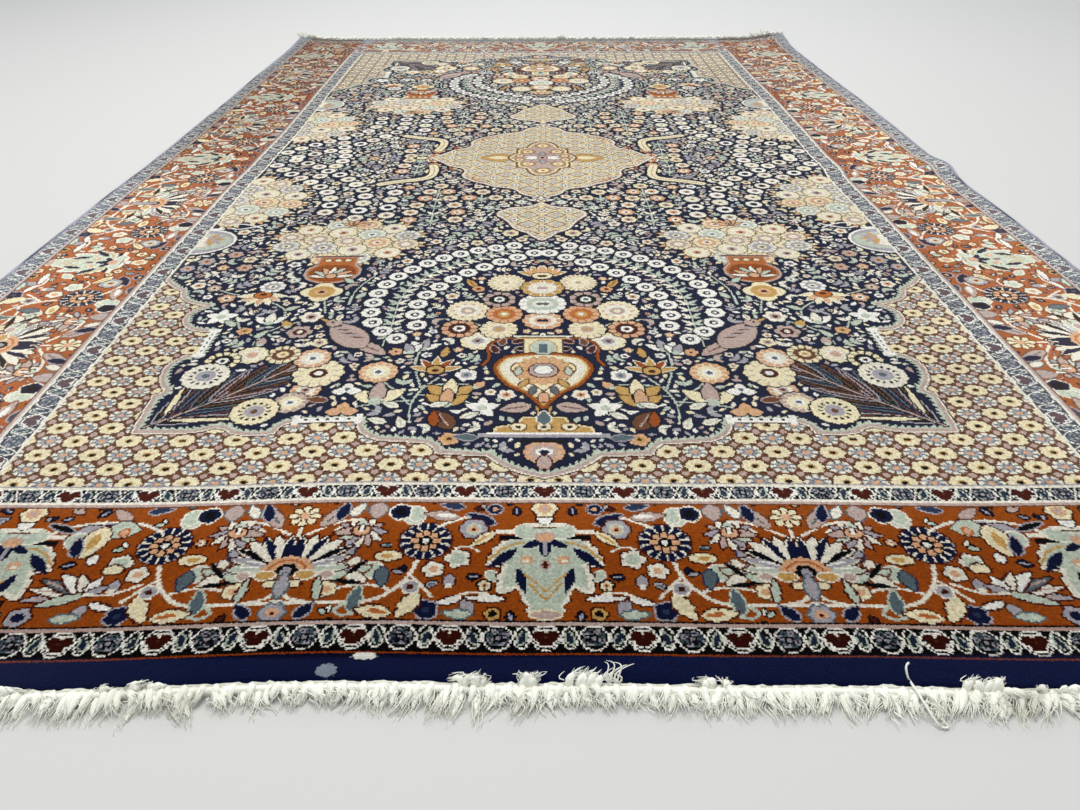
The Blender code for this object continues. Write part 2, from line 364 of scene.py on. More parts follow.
def palmette_fan(b):
    """Lotus of dark and pale petals over a peach heart, with a daisy above it."""
    petals = ((0, 24, 9, NAVY), (19, 27, 8, IVORY), (34, 30, 8.5, NAVY), (50, 34, 10, IVORY),
              (64, 36, 7.5, INK), (78, 34, 9, LILAC), (94, 33, 11, CELADON))
    for turn, length, width, colour in petals[::-1]:
        for s in (-1, 1):
            b.leaf(s * 4, -9, length + 9, width + 5, s * -turn, IVORY, edge=MAROON)
    for turn, length, width, colour in petals[::-1]:
        for s in (-1, 1):
            b.leaf(s * 4, -9, length + 8, width, s * -turn, colour)
            if colour in (LILAC, CELADON):
                b.leaf(s * 9, -8, length - 6, 2.6, s * -turn, WHITE)
    knots, dp, dq = b.near(0, -14, 23)
    radius, angle = np.hypot(dp / 21, dq / 16), np.arctan2(dq, dp)
    heart = (radius < 1.0 - 0.1 * np.abs(np.sin(4 * angle))) & (dq > 0)
    knots[heart] = PEACH
    knots[heart & (np.abs(radius - 0.66) < 0.06)] = ORANGE
    b.oval(0, -14, 7.5, 7.0, INK)
    b.oval(0, -16.5, 4.0, 6.5, LILAC)
    for s in (-1, 1):
        b.oval(s * 15, -19, 7, 4.2, GOLD, edge=IVORY)
        b.oval(s * 9, -28, 4.6, 3.4, CREAM, edge=MAROON)
        b.oval(s * 31, -19, 5, 3.6, ROSE, edge=IVORY)
        b.leaf(s * 29, -45, 24, 6.5, s * 8, CELADON, edge=MAROON, teeth=3)
        b.line(((s * 7, 25), (s * 20, 34), (s * 34, 41), (s * 48, 42)), 2.8, IVORY)
        b.line(((0, -34), (s * 8, -43), (s * 20, -46)), 2.8, IVORY)
        b.leaf(s * 17, -61, 17, 9, s * -38, NAVY, edge=LILAC)
        b.leaf(s * 16, 34, 32, 12, s * -34, ROSE, edge=BROWN, vein=STEEL)
        b.leaf(s * 28, 42, 22, 9, s * -14, NAVY, edge=LILAC)
        b.leaf(s * 38, 46, 18, 8, s * -30, IVORY, edge=STEEL)
    b.leaf(0, -42, 26, 9, 0, LILAC, edge=STEEL)
    b.line(((0, 24), (0, 38)), 2.6, IVORY)
    b.flower(0, 47, 12.5, 8, CREAM, (0.32, PEACH), edge=MAROON, seams=MAROON, notch=0.3)
    b.flower(0, -56, 9, 6, LILAC, (0.5, PEACH), (0.2, MAROON), edge=STEEL)


def border_rosette(b):
    """Round flower of short navy petals in a pale ring, with a peach heart."""
    b.flower(0, 0, 20.5, 14, LILAC, edge=MAROON, notch=0.05)
    knots, dp, dq = b.near(0, 0, 21)
    radius, angle = np.hypot(dp, dq), np.arctan2(dq, dp)
    knots[(radius > 11) & (radius < 19.4)] = IVORY
    knots[(radius > 11) & (radius < 19.8) & (np.cos(14 * angle) > -0.72)] = NAVY
    b.flower(0, 0, 11.5, 8, PEACH, (0.5, INK), (0.27, WHITE), seams=MAROON, notch=0.12)


def border_between(b):
    """What grows between the wide palmette at 0 and the fan at 196."""
    vine = ((98, -3), (101, -18), (112, -36), (128, -47), (160, -48), (196, -46))
    b.line(vine, 3.2, IVORY)
    b.line(((100, -22), (90, -33), (84, -41)), 2.6, IVORY)
    b.line(((150, 41), (168, 30)), 2.4, IVORY)
    b.line(((113, -36), (127, -30), (142, -30), (158, -34)), 2.6, IVORY)
    border_rosette(b.at(94, 17))
    b.oval(106, 47, 8.5, 10.5, CELADON, edge=IVORY)
    b.line(((101, 42), (105, 38), (111, 43), (111, 50)), 1.8, IVORY)
    b.flower(118, 51, 9, 5, NAVY, (0.5, INK), edge=IVORY)
    b.leaf(137, 62, 19, 15, 180, ROSE, edge=STEEL, vein=LILAC)
    for turn, long, wool in ((-62, 19, LILAC), (62, 19, ROSE), (-30, 17, IVORY), (30, 17, IVORY),
                             (0, 15, CELADON)):
        b.leaf(147, 28, long, 9, turn, wool, edge=MAROON)
    for k, wool in enumerate((LILAC, IVORY, ROSE, IVORY, LILAC, CELADON, ROSE)):
        b.leaf(147, 30, 22, 7.5, 100 + 26.6 * k, wool, edge=MAROON)
    b.oval(147, 29, 7.0, 5.6, PEACH, edge=MAROON)
    b.oval(147, 31, 3.0, 3.6, INK)
    b.box(147, 31, 1.0, 4.4, WHITE)
    b.leaf(152, 12, 17, 11, 190, LILAC, edge=SLATE)
    b.flower(67, -2, 10, 5, IVORY, (0.62, CELADON), edge=MAROON, notch=0.24)
    b.flower(85, -14, 8.5, 5, IVORY, (0.4, PEACH), edge=MAROON, notch=0.26)
    b.oval(121, 0, 10.5, 5.2, CREAM, edge=MAROON)
    b.oval(122, 0, 5, 2.2, GOLD)
    b.oval(131, -15, 8, 7.5, CELADON, edge=IVORY)
    b.leaf(124, -12, 20, 10, 172, STEEL, edge=SLATE)
    b.leaf(141, -24, 19, 8, 4, INK, edge=LILAC)
    for turn, wool in ((20, IVORY), (70, CELADON), (120, IVORY), (-40, LILAC), (-100, CELADON)):
        b.leaf(150, -18, 19, 10, turn, wool, edge=BROWN)
    b.leaf(150, -20, 22, 5, 40, INK)
    b.leaf(137, -28, 28, 5, -84, INK)
    b.leaf(141, -55, 24, 10, 8, STEEL, edge=CELADON, teeth=3)
    b.flower(162, -34, 8, 5, CREAM, (0.45, PEACH), edge=BROWN, notch=0.25)
    b.leaf(60, -44, 15, 9, 150, LILAC, edge=BROWN)
    b.leaf(61, -42, 22, 6, -108, WHITE, edge=MAROON)
    b.flower(86, -54, 8.5, 5, NAVY, (0.3, SLATE), edge=LILAC, notch=0.2)
    b.leaf(93, -38, 27, 14, -150, CREAM, edge=MAROON, teeth=4)
    b.leaf(111, -58, 27, 13, -82, CREAM, edge=MAROON, teeth=4)
    b.leaf(114, -57, 16, 4, -82, ORANGE)
    b.line(((138, -58), (148, -60), (153, -54), (147, -49)), 2.8, CELADON)
    b.leaf(66, 57, 20, 7, -80, SLATE, edge=LILAC)
    b.flower(100, -32, 6, 5, LILAC, (0.45, MAROON), edge=IVORY)
    bud(b.at(72, -26), LILAC, IVORY, 6, edge=MAROON)


def beside_palmette(b):
    """The leaves and the side flower next to a wide palmette at 0."""
    b.line(((60, 46), (74, 41), (86, 33)), 3.0, IVORY)
    b.leaf(40, 37, 26, 9.5, -62, NAVY, edge=LILAC)
    b.flower(57, 31, 11.5, 6, LILAC, (0.6, CELADON), (0.36, PEACH), (0.16, MAROON), edge=MAROON)
    b.leaf(40, 28, 24, 8.5, -132, CREAM, edge=MAROON, vein=GOLD)
    b.leaf(70, 45, 28, 12, -82, ROSE, edge=BROWN, teeth=4)
    b.leaf(72, 46, 18, 5, -84, WHITE)
    b.leaf(30, -43, 30, 7, -88, WHITE, edge=MAROON, teeth=3)
    b.flower(38, -57, 6, 5, GOLD, (0.5, INK), edge=MAROON)
    b.leaf(54, -58, 20, 8, -86, CELADON, edge=STEEL, teeth=3)
    b.leaf(44, -16, 16, 8, 130, CELADON, edge=IVORY)
    b.flower(41, 55, 6, 5, NAVY, (0.4, PEACH), edge=LILAC)
    b.line(((42, -38), (58, -36), (70, -44)), 2.2, IVORY)
    b.line(((52, 6), (60, 12), (70, 9)), 2.0, IVORY)


def tulip_and_spray(b):
    """Three-petalled flower on a bent stem and a spray of long leaves."""
    b.line(((86, 33), (66, 44), (36, 46), (8, 40), (-4, 30)), 3.0, IVORY)
    b.line(((36, 46), (34, 36)), 2.4, IVORY)
    b.leaf(56, 46, 24, 10, 50, ROSE, edge=BROWN, teeth=3)
    b.leaf(52, 37, 20, 8, 78, NAVY, edge=LILAC)
    b.leaf(40, 38, 32, 21, 118, LILAC, edge=MAROON)
    b.oval(22, 24, 8.0, 8.0, CELADON, edge=IVORY)
    b.oval(22, 24, 2.8, 2.8, PEACH)
    b.leaf(42, 38, 26, 20, -96, CELADON, edge=MAROON)
    b.oval(56, 33, 3.4, 3.4, PEACH, edge=ORANGE)
    b.leaf(39, 40, 36, 20, 172, CREAM, edge=MAROON)
    b.leaf(37, 32, 20, 8, 172, GOLD)
    b.leaf(16, 34, 26, 6, 70, INK, edge=LILAC)
    b.leaf(28, 6, 22, 9, 14, NAVY, edge=LILAC)
    b.oval(44, 3, 4.0, 5.0, WHITE, edge=MAROON)
    for turn, long, wide, wool in (
            (96, 46, 8, LILAC), (82, 44, 9, IVORY), (68, 42, 8, STEEL), (50, 34, 10, WHITE),
            (28, 24, 8, IVORY), (108, 34, 8, CELADON), (-18, 18, 9, WHITE), (-60, 16, 7, LILAC)):
        b.leaf(54, -33, long, wide, turn, wool, edge=MAROON, vein=ROSE if long > 40 else None)
    b.line(((92, -24), (74, -34), (54, -33)), 2.6, IVORY)
    b.flower(16, -54, 9, 5, LILAC, (0.5, NAVY), edge=MAROON)
    b.leaf(40, -56, 20, 8, -86, CELADON, edge=STEEL, teeth=3)
    b.oval(64, -8, 7.5, 4.6, CREAM, edge=MAROON)


# ---- the field, in millimetres from the rug's middle line and its near pile edge

# outlines of the navy field, the vase and the medallion's parts: (x, y, bulge of the way there)
NEAR_EDGE = ((0, 212, 0), (50, 243, 0.16), (96, 246, 0), (108, 262, -0.2), (152, 266, 0),
             (176, 298, 0.34), (238, 298, 0), (254, 280, -0.4), (292, 282, 0.14), (312, 291, -0.3),
             (334, 284, 0.1), (384, 284, 0), (388, 345, 0), (380, 356, -0.4), (396, 392, 0.18),
             (386, 421, 0.24), (372, 425, 0), (372, 480, 0), (396, 482, 0.1), (416, 512, 0.3),
             (398, 543, 0.26), (428, 553, 0.1), (444, 582, 0.2), (476, 614, 0.12))
VASE = ((0, 320, 0), (9, 336, -0.05), (34, 360, -0.10), (49, 392, 0.12), (38, 414, 0.18),
        (12, 420, 0.05))
PANEL = ((0, 1012, 0), (20, 1024, 0.35), (28, 1048, 0.10), (44, 1058, 0.30), (44, 1080, 0.10),
         (60, QUARTER_LONG, 0.16))
MEDALLION = ((0, 905, 0), (34, 925, 0.2), (58, 950, -0.3), (92, 968, 0.2), (122, 990, 0.1),
             (134, 1020, 0.24), (142, 1050, -0.3), (170, 1072, 0.24), (198, 1107, 0))
PENDANT = ((0, 733, 0), (22, 762, 0.1), (46, 792, 0.24), (66, 826, -0.1), (56, 852, 0.4),
           (34, 862, 0.3), (0, 886, -0.2))
# the vase's handle and its base, as plain places
HANDLE = ((16, 446), (34, 458), (52, 452), (62, 434), (56, 414), (64, 398))
VASE_BASE = ((48, 276), (46, 286), (26, 291), (20, 303))
# outlines close a little beyond the rug's two middle lines
PAST_X, PAST_Y = -9, 1120
# where the inner guard bounds the lattice
LATTICE_SIDE, LATTICE_END = 476, 204
# lines that the two rows of white ringlets follow, and the leafy stem between them
INNER_ROW = ((144, 486), (152, 520), (146, 560), (104, 622), (52, 664), (10, 691))
OUTER_ROW = ((163, 455), (196, 486), (205, 530), (198, 600), (150, 660), (100, 694), (38, 716))
MIDDLE_STEM = ((176, 440), (172, 500), (174, 560), (150, 620), (100, 665), (40, 700))


def bent(table):
    """Places along an outline whose stretches bow out by their bulge."""
    places = [np.array(table[0][:2], float)]
    for x, y, bulge in table[1:]:
        a, b = places[-1], np.array((x, y), float)
        side = np.array((b[1] - a[1], a[0] - b[0])) * bulge
        for t in (0.25, 0.5, 0.75, 1.0):
            places.append(a + (b - a) * t + side * 2.0 * t * (1.0 - t))
    return np.array(places)


def inside(chart, places):
    """Knots inside a closed outline."""
    x, y = chart.mesh()
    hit = np.zeros(x.shape, bool)
    for (ax, ay), (bx, by) in zip(places, np.roll(places, -1, axis=0)):
        if ay != by:
            hit ^= ((y > ay) != (y > by)) & (x < ax + (y - ay) * (bx - ax) / (by - ay))
    return hit


def spaced(places, step):
    """Places at even steps along an eased line."""
    points = np.array(places, float)
    for _ in range(3):
        mid = 0.5 * (points[1:] + points[:-1])
        inner = np.stack((0.5 * (mid[:-1] + points[1:-1]), 0.5 * (mid[1:] + points[1:-1])), 1)
        points = np.vstack((points[:1], inner.reshape(-1, 2), points[-1:]))
    gone = np.concatenate(((0.0,), np.cumsum(np.hypot(*np.diff(points, axis=0).T))))
    at = np.linspace(0.0, gone[-1], int(round(gone[-1] / step)) + 1)
    return np.stack((np.interp(at, gone, points[:, 0]), np.interp(at, gone, points[:, 1])), 1)


def lattice(chart, where):
    """Rows of scalloped cream flowers and pale petal clusters, on brown."""
    wide, high, start = 24.7, 20.7, 207.0
    x, y = chart.mesh()
    i, j = np.floor(x / wide), np.round((y - start) / high)
    dx, dy = x - (i + 0.5) * wide, y - start - j * high
    radius, angle = np.hypot(dx / 1.12, dy / 0.92), np.arctan2(dy / 0.92, dx / 1.12)
    even, corner = (i + j) % 2 == 0, np.hypot(np.abs(dx) - 0.5 * wide, np.abs(dy) - 0.5 * high)
    rim, eye = 10.8 * (0.94 + 0.06 * np.cos(8 * angle)), np.hypot(dx / 1.2, dy)
    petal = ~even & (radius < 10.0) & (radius > 3.2) & (np.cos(8 * angle) > -0.6)
    tile = np.full(x.shape, BROWN)
    for part, wool in ((corner < 3.4, ROSE), (even & (radius < rim + 1.0), MAROON),
                       (even & (radius < rim), CREAM), (even & (eye < 3.4), GOLD),
                       (even & (eye < 2.4), INK), (~even & (radius < 9.8), STEEL), (petal, IVORY),
                       (petal & (radius < 6.2), LILAC), (~even & (radius < 2.9), PEACH)):
        tile[part] = wool
    chart.knots[where] = tile[where]


def off_line(chart, places):
    """How far each knot near a line of places lies from it, and how far along it."""
    reach = 16.0
    x, y = chart.mesh()
    far, run = np.full(x.shape, 99.0), np.zeros(x.shape)
    gone = 0.0
    for a, b in zip(places, places[1:]):
        span = b - a
        size = float(np.hypot(*span))
        if size < TINY:
            continue
        i0, i1 = np.searchsorted(chart.x, (min(a[0], b[0]) - reach, max(a[0], b[0]) + reach))
        j0, j1 = np.searchsorted(chart.y, (min(a[1], b[1]) - reach, max(a[1], b[1]) + reach))
        cut = (slice(j0, j1), slice(i0, i1))
        t = np.clip(((x[cut] - a[0]) * span[0] + (y[cut] - a[1]) * span[1]) / size ** 2, 0, 1)
        d = np.hypot(x[cut] - a[0] - t * span[0], y[cut] - a[1] - t * span[1])
        nearer = d < far[cut]
        far[cut] = np.where(nearer, d, far[cut])
        run[cut] = np.where(nearer, gone + t * size, run[cut])
        gone += size
    return far, run


def edge_band(chart, table, field):
    """Serrated leaf band along the inside of an outline, with a pale line and a dark one."""
    far, run = off_line(chart, bent(table))
    teeth = 8.5 * (0.45 + 0.55 * ((run / 7.5) % 1.0))
    for part, wool in ((field & (far < teeth + 1.6), INK), (field & (far < teeth), CELADON),
                       (~field & (far < 4.6), MAROON), (far < 2.4, ROSE),
                       (~field & (far < 3.2) & (far > 1.6), IVORY)):
        chart.knots[part] = wool


def dotted_bar(b, long):
    """Pale bar with a row of dark dots and a foot at each end."""
    b.box(0, 0, 0.5 * long, 4.0, WHITE)
    for s in (-1, 1):
        b.box(s * 0.5 * long, 0, 3.2, 7.5, WHITE)
    for k in range(5):
        b.box((k - 2) * long / 6.0, 0, 1.7, 1.2, INK)


def filler(chart, seed, step, kinds, low, high, where, keep, edge=None):
    """Small flowers and leaves wherever the border's ground is still bare."""
    rng = np.random.default_rng(seed)
    last_row, last_column = where.shape[0] - 1, where.shape[1] - 1
    for y in np.arange(0.5 * step, chart.y[-1], step):
        for x in np.arange(0.5 * step, chart.x[-1], step):
            px, py = (x, y) + rng.uniform(-0.4, 0.4, 2) * step
            r = rng.uniform(low, high)
            turn, (shape, one, two) = rng.uniform(0, 360), kinds[rng.integers(len(kinds))]
            j, i = np.searchsorted(chart.y, py), np.searchsorted(chart.x, px)
            b = chart.brush(px, py, turn)
            if not where[min(j, last_row), min(i, last_column)] or not b.free(r + keep, RUST):
                continue
            if shape == "leaf":
                b.leaf(0, -r, 2.0 * r, 1.1 * r, 0, one, edge=edge, vein=two)
            elif shape == "pair":
                b.leaf(0, -r, 1.6 * r, 0.9 * r, 40, one, edge=edge)
                b.leaf(0, -r, 1.6 * r, 0.9 * r, -40, two, edge=edge)
            else:
                blossom(b, r, 5, one, two, MAROON, edge=edge)


def vase_and_bouquet(b):
    """Two-handled vase on its foot under the cusp of the field, full of round flowers."""
    b.line(((4, 436), (40, 470), (100, 500)), 3, CELADON)
    for x, y, r, outer, mid, heart, eye, petals in (
            (72, 450, 20, CREAM, IVORY, LILAC, BROWN, 10), (50, 477, 22, CREAM, CREAM, ROSE, GOLD, 14),
            (95, 478, 21, PEACH, MAROON, WHITE, MAROON, 11), (88, 522, 26, CREAM, IVORY, ROSE, CREAM, 22),
            (3, 498, 21, PEACH, IVORY, PEACH, NAVY, 10), (45, 514, 22, PEACH, ORANGE, GOLD, IVORY, 12),
            (52, 552, 20, ROSE, INK, WHITE, STEEL, 9), (4, 540, 25, WHITE, CELADON, IVORY, STEEL, 12),
            (45, 598, 24, CREAM, CREAM, IVORY, GOLD, 22), (3, 583, 24, GOLD, IVORY, IVORY, ROSE, 10)):
        layered(b.at(x, y), r, outer, mid, heart, eye, petals)
    for x, y, reach, r, wool in ((88, 522, 17, 2.2, PEACH), (45, 598, 15, 2.0, IVORY)):
        for p, q in around(10, reach):
            b.oval(x + p, y + q, r, r, wool)
    fan(b.at(2, 626), 25, 7, (GOLD, PEACH), CREAM, 130)
    b.leaf(82, 585, 26, 10, -30, GOLD, edge=INK, vein=BROWN)
    b.flower(79, 580, 8, 5, PEACH, (0.5, ORANGE), (0.25, MAROON))
    # handle, neck and foot
    b.line(HANDLE, 5.4, INK)
    b.line(HANDLE, 3.2, RUST)
    for x, y, turn, wool in ((34, 446, 60, MAROON), (46, 440, 10, BROWN), (30, 434, 100, INK),
                             (50, 424, -20, MAROON)):
        b.leaf(x, y, 17, 8, turn, wool, edge=ROSE)
    b.leaf(12, 322, 32, 17, -104, ROSE, edge=INK, vein=BROWN)
    b.line(((0, 336), (7, 322), (5, 306)), 2.4, GOLD)
    b.box(2, 434, 20, 21, BROWN)
    b.box(2, 434, 18, 20, CREAM)
    b.oval(2, 434, 12, 17, CELADON, edge=GOLD)
    for y, wide, high, wool in ((434, 2.6, 9, STEEL), (456, 25, 2.2, GOLD), (461, 30, 2.0, IVORY)):
        b.box(2, y, wide, high, wool)
    b.oval(2, 412, 10, 7, PEACH, edge=MAROON)
    layered(b.at(2, 247), 17, PEACH, ROSE, WHITE, NAVY, 11)
    b.leaf(2, 222, 20, 9, 0, ROSE, edge=MAROON)


def vase_body(chart, b):
    """The vase's body, narrowing to its foot, and the stepped base under it."""
    far, _ = off_line(chart, bent(VASE))
    body = inside(chart, np.vstack(((PAST_X, 318), bent(VASE), (PAST_X, 420))))
    for part, wool in ((~body & (far < 5.6), INK), (~body & (far < 4.0), RUST), (body, CREAM),
                       (body & (far < 15.0) & (far > 13.2), BROWN),
                       (body & (far < 12.4) & (far > 6.0), IVORY), (body & (far < 2.4), GOLD)):
        chart.knots[part] = wool
    base = inside(chart, np.array(((PAST_X, 276), *VASE_BASE, (PAST_X, 303)), float))
    rim, _ = off_line(chart, np.array((*VASE_BASE, (0, 303)), float))
    for part, wool in ((rim < 3.0, INK), (base, GOLD), (base & (rim < 2.0), CREAM)):
        chart.knots[part] = wool
    for x in (0, 24):
        b.oval(x, 286, 7, 6, CREAM, edge=BROWN)
        b.oval(x, 286, 2.6, 2.4, INK)
    b.leaf(0, 290, 22, 13, 0, STEEL, edge=IVORY)
    for y, wide, high, wool in ((272, 60, 3.2, LILAC), (276, 52, 1.6, WHITE), (263, 20, 2.2, INK)):
        b.box(2, y, wide, high, wool)
    b.leaf(62, 268, 22, 10, -84, STEEL, edge=LILAC, teeth=3)
    # a half-open flower fills it, with leaves down to the foot
    for turn in range(0, 181, 20):
        b.at(2, 388, turn).leaf(0, -11, 17, 8, 180, PEACH, edge=GOLD)
    b.oval(2, 388, 13, 13, ROSE, edge=MAROON)
    b.oval(2, 389, 7, 8, WHITE, edge=STEEL)
    for x, y, turn, wool in ((27, 378, 6, CELADON), (24, 356, 30, GOLD), (13, 342, 14, STEEL),
                             (2, 328, 0, PEACH)):
        b.leaf(x, y, 17, 7, turn, wool, edge=BROWN)


def flowering_bush(b):
    """Branching stems between the vase and the palm corner."""
    for way in (((128, 292), (132, 320), (124, 350), (108, 372)), ((132, 322), (150, 350), (172, 372)),
                ((130, 330), (165, 325), (196, 316)), ((126, 340), (98, 338), (62, 322)),
                ((124, 352), (138, 400), (132, 436)), ((150, 348), (180, 345), (200, 352)),
                ((122, 356), (92, 362), (70, 358))):
        b.line(way, 2.2, CELADON)
    layered(b.at(172, 384), 21, PEACH, CREAM, WHITE, STEEL, 12)
    tulip(b.at(166, 342), 19, CREAM, ROSE)
    tulip(b.at(94, 350), 17, GOLD, CREAM)
    tulip(b.at(96, 334), 15, GOLD, PEACH)
    star(b.at(60, 318), 18)
    trefoil(b.at(198, 352), 13)
    trefoil(b.at(196, 316), 14, PEACH, GOLD)
    b.leaf(88, 282, 34, 20, -28, BROWN, edge=INK, vein=ROSE)
    b.leaf(104, 286, 26, 10, -6, RUST, edge=INK)
    for x, y, turn in ((133, 283, -20), (112, 320, 70), (142, 318, -60), (150, 292, -70), (80, 300, 60)):
        b.leaf(x, y, 20, 10, turn, IVORY, edge=INK, vein=CELADON)
    blossom(b.at(88, 266), 10, 5, PEACH, GOLD, MAROON)
    blossom(b.at(80, 378), 12, 5, WHITE, LILAC, STEEL)
    bud(b.at(66, 358, 40), PEACH, CELADON, 7)
    fan(b.at(113, 394), 22, 5, (GOLD, RUST), GOLD, 150)
    tulip(b.at(130, 440, 10), 12, WHITE, LILAC)
    tulip(b.at(146, 432, -20), 11, WHITE, LILAC)
    b.leaf(108, 414, 22, 9, 10, GOLD, edge=INK)
    blossom(b.at(160, 426), 8, 5, PEACH, PEACH, MAROON)


def bird(b):
    """Small bird with a striped wing, turned to the middle of the field."""
    b.leaf(170, 420, 66, 18, -52, ROSE, edge=INK, vein=BROWN)
    b.leaf(196, 436, 76, 37, -38, ROSE, edge=INK)
    for k in range(7):
        b.leaf(200 + 4.6 * k, 458 + 4.6 * k, 19 - abs(k - 3), 3.0, -84, (BROWN, LILAC)[k % 2])
    b.oval(240, 494, 9, 9, ROSE, edge=INK)
    b.oval(242, 496, 2, 2, INK)
    b.leaf(246, 498, 13, 5, -60, GOLD)
    b.leaf(238, 500, 17, 8, 12, IVORY, edge=INK, vein=ROSE)


def palm_corner(b):
    """Palm of striped leaves in the corner of the field, inside a ring of round flowers."""
    for k in range(8):
        x, y, long = 372 - 14.0 * k, 297 + 12.5 * k, 82 - 6.0 * k
        wool, vein = ((INK, BROWN), (NAVY, STEEL), (INK, BROWN), (MAROON, LILAC))[k % 4]
        for turn in (12 + 3.0 * k, 80 - 3.0 * k):
            b.leaf(x, y, long, 9.0, turn, wool, edge=(LILAC, BROWN, STEEL)[k % 3], vein=vein)
    b.line(((378, 290), (320, 340), (264, 396)), 4.4, INK)
    b.line(((378, 290), (320, 340), (262, 398)), 2.0, ROSE)
    b.leaf(366, 312, 50, 6, 2, CREAM, edge=INK)
    b.leaf(358, 302, 62, 6, 88, CREAM, edge=INK)
    for x, y, r, outer, mid, heart, eye in (
            (240, 352, 16, PEACH, IVORY, ROSE, MAROON), (234, 384, 27, CREAM, CREAM, MAROON, WHITE),
            (250, 330, 18, ROSE, CREAM, WHITE, STEEL), (281, 316, 23, CREAM, LILAC, None, BROWN),
            (247, 415, 20, PEACH, IVORY, WHITE, STEEL), (281, 424, 19, CREAM, BROWN, CREAM, GOLD),
            (314, 424, 18, CREAM, IVORY, PEACH, ROSE), (342, 412, 19, CREAM, INK, WHITE, NAVY),
            (350, 382, 25, IVORY, LILAC, None, STEEL)):
        if heart is None:
            wheel(b.at(x, y), r, outer, mid, eye)
        else:
            layered(b.at(x, y), r, outer, mid, heart, eye, 12)
    b.leaf(214, 332, 22, 9, -80, BROWN, edge=ROSE)


def upper_field(b):
    """Stems and flowers between the palm corner and the side bouquet."""
    for way in (((320, 446), (316, 470), (300, 488), (278, 500)), ((318, 462), (344, 480), (352, 500)),
                ((300, 488), (302, 530), (330, 552)), ((352, 498), (372, 510)),
                ((256, 520), (262, 548), (272, 572)), ((330, 570), (372, 566), (410, 590)),
                ((232, 540), (232, 580), (214, 620))):
        b.line(way, 2.2, CELADON)
    tulip(b.at(316, 506), 13, WHITE, IVORY)
    star(b.at(375, 512), 20)
    blossom(b.at(270, 510), 14, 6, IVORY, ROSE, MAROON)
    blossom(b.at(275, 474), 15, 6, ROSE, MAROON, IVORY)
    bud(b.at(294, 492, -20), GOLD, CELADON, 8)
    for x, y, turn in ((322, 462, 30), (352, 490, -50), (306, 528, 60), (226, 556, 30), (238, 600, -40)):
        b.leaf(x, y, 20, 9, turn, CELADON, edge=INK)
    blossom(b.at(338, 478), 9, 5, PEACH, GOLD, MAROON)
    bud(b.at(312, 452), ROSE, CELADON, 8)
    fan(b.at(342, 562, 180), 24, 7, (CREAM, PEACH), ORANGE, 160)
    b.flower(272, 576, 26, 4, CREAM, (0.62, GOLD), (0.3, PEACH), (0.14, MAROON), notch=0.3)
    layered(b.at(336, 592), 16, WHITE, LILAC, IVORY, STEEL, 9)
    blossom(b.at(384, 560), 11, 5, PEACH, IVORY, MAROON)
    blossom(b.at(408, 588), 9, 5, ROSE, CREAM, MAROON)


def bouquet(b, wide, high, rings, heads):
    """Round bunch of pale flowers: rings of (share of the bunch, how many, radius)."""
    places = []
    for share, count, r in rings:
        for n in range(count):
            turn = 2.0 * math.pi * (n + 0.5 * share) / count
            x, y = share * wide * math.cos(turn), share * high * math.sin(turn)
            places.append((x, y, r))
            # long petals show beyond the outermost ring
            for lean, wool in ((-26, CREAM), (0, PEACH), (26, CREAM)):
                if share > 0.75:
                    b.leaf(x, y, 1.6 * r, 0.55 * r, math.degrees(turn) - 90 + lean, wool, edge=INK)
    b.oval(0, 0, 0.97 * wide, 0.97 * high, CREAM)
    knots, dp, dq = b.near(0, 0, max(wide, high))
    mottle = np.sin(dp / 3.1) * np.sin(dq / 3.1) > 0.25
    knots[((dp / wide) ** 2 + (dq / high) ** 2 < 0.9) & mottle] = ROSE
    for k, (x, y, r) in enumerate(places):
        outer, mid, heart, eye, edge = heads[k % len(heads)]
        layered(b.at(x, y), r, outer, mid, heart, eye, 13, edge=edge)


# the flowers of a bunch: wools of (petals, middle, heart, eye, outline)
PALE_HEADS = ((CREAM, ROSE, IVORY, CREAM, BROWN), (CREAM, IVORY, PEACH, BROWN, BROWN),
              (IVORY, CELADON, WHITE, STEEL, STEEL), (CREAM, PEACH, IVORY, RUST, BROWN),
              (CREAM, IVORY, ROSE, MAROON, STEEL), (IVORY, LILAC, CREAM, STEEL, STEEL))


def side_bouquet(b):
    """Wide-mouthed rust vase with a round bunch of pale flowers."""
    bouquet(b.at(270, 735), 92, 66, ((0.92, 12, 18), (0.47, 6, 20), (0.0, 1, 19)), PALE_HEADS)
    vase = b.at(270, 633)
    for lean in (-60, -30, 0, 30, 60):
        vase.leaf(0, 157, 24, 8, lean, PEACH, edge=INK)
    vase.oval(0, 0, 37, 33, ROSE, edge=INK)
    vase.oval(0, 0, 33, 30, ORANGE)
    vase.oval(0, -1, 28, 24, RUST, edge=BROWN)
    for q, wide, high, wool in ((35, 26, 12, ROSE), (35, 23, 12, ORANGE), (49, 35, 3.4, ROSE),
                                (49, 32, 1.8, MAROON)):
        vase.box(0, q, wide, high, wool)
    for k in range(7):
        vase.leaf(0, -13, 30, 9, (k - 3) * 28, (IVORY, CELADON, PEACH)[k % 3], edge=MAROON)
    vase.oval(0, -11, 7, 6, PEACH, edge=MAROON)
    for p in (-13, 0, 13):
        vase.oval(p, 37, 4.2, 4.0, CREAM, edge=BROWN)


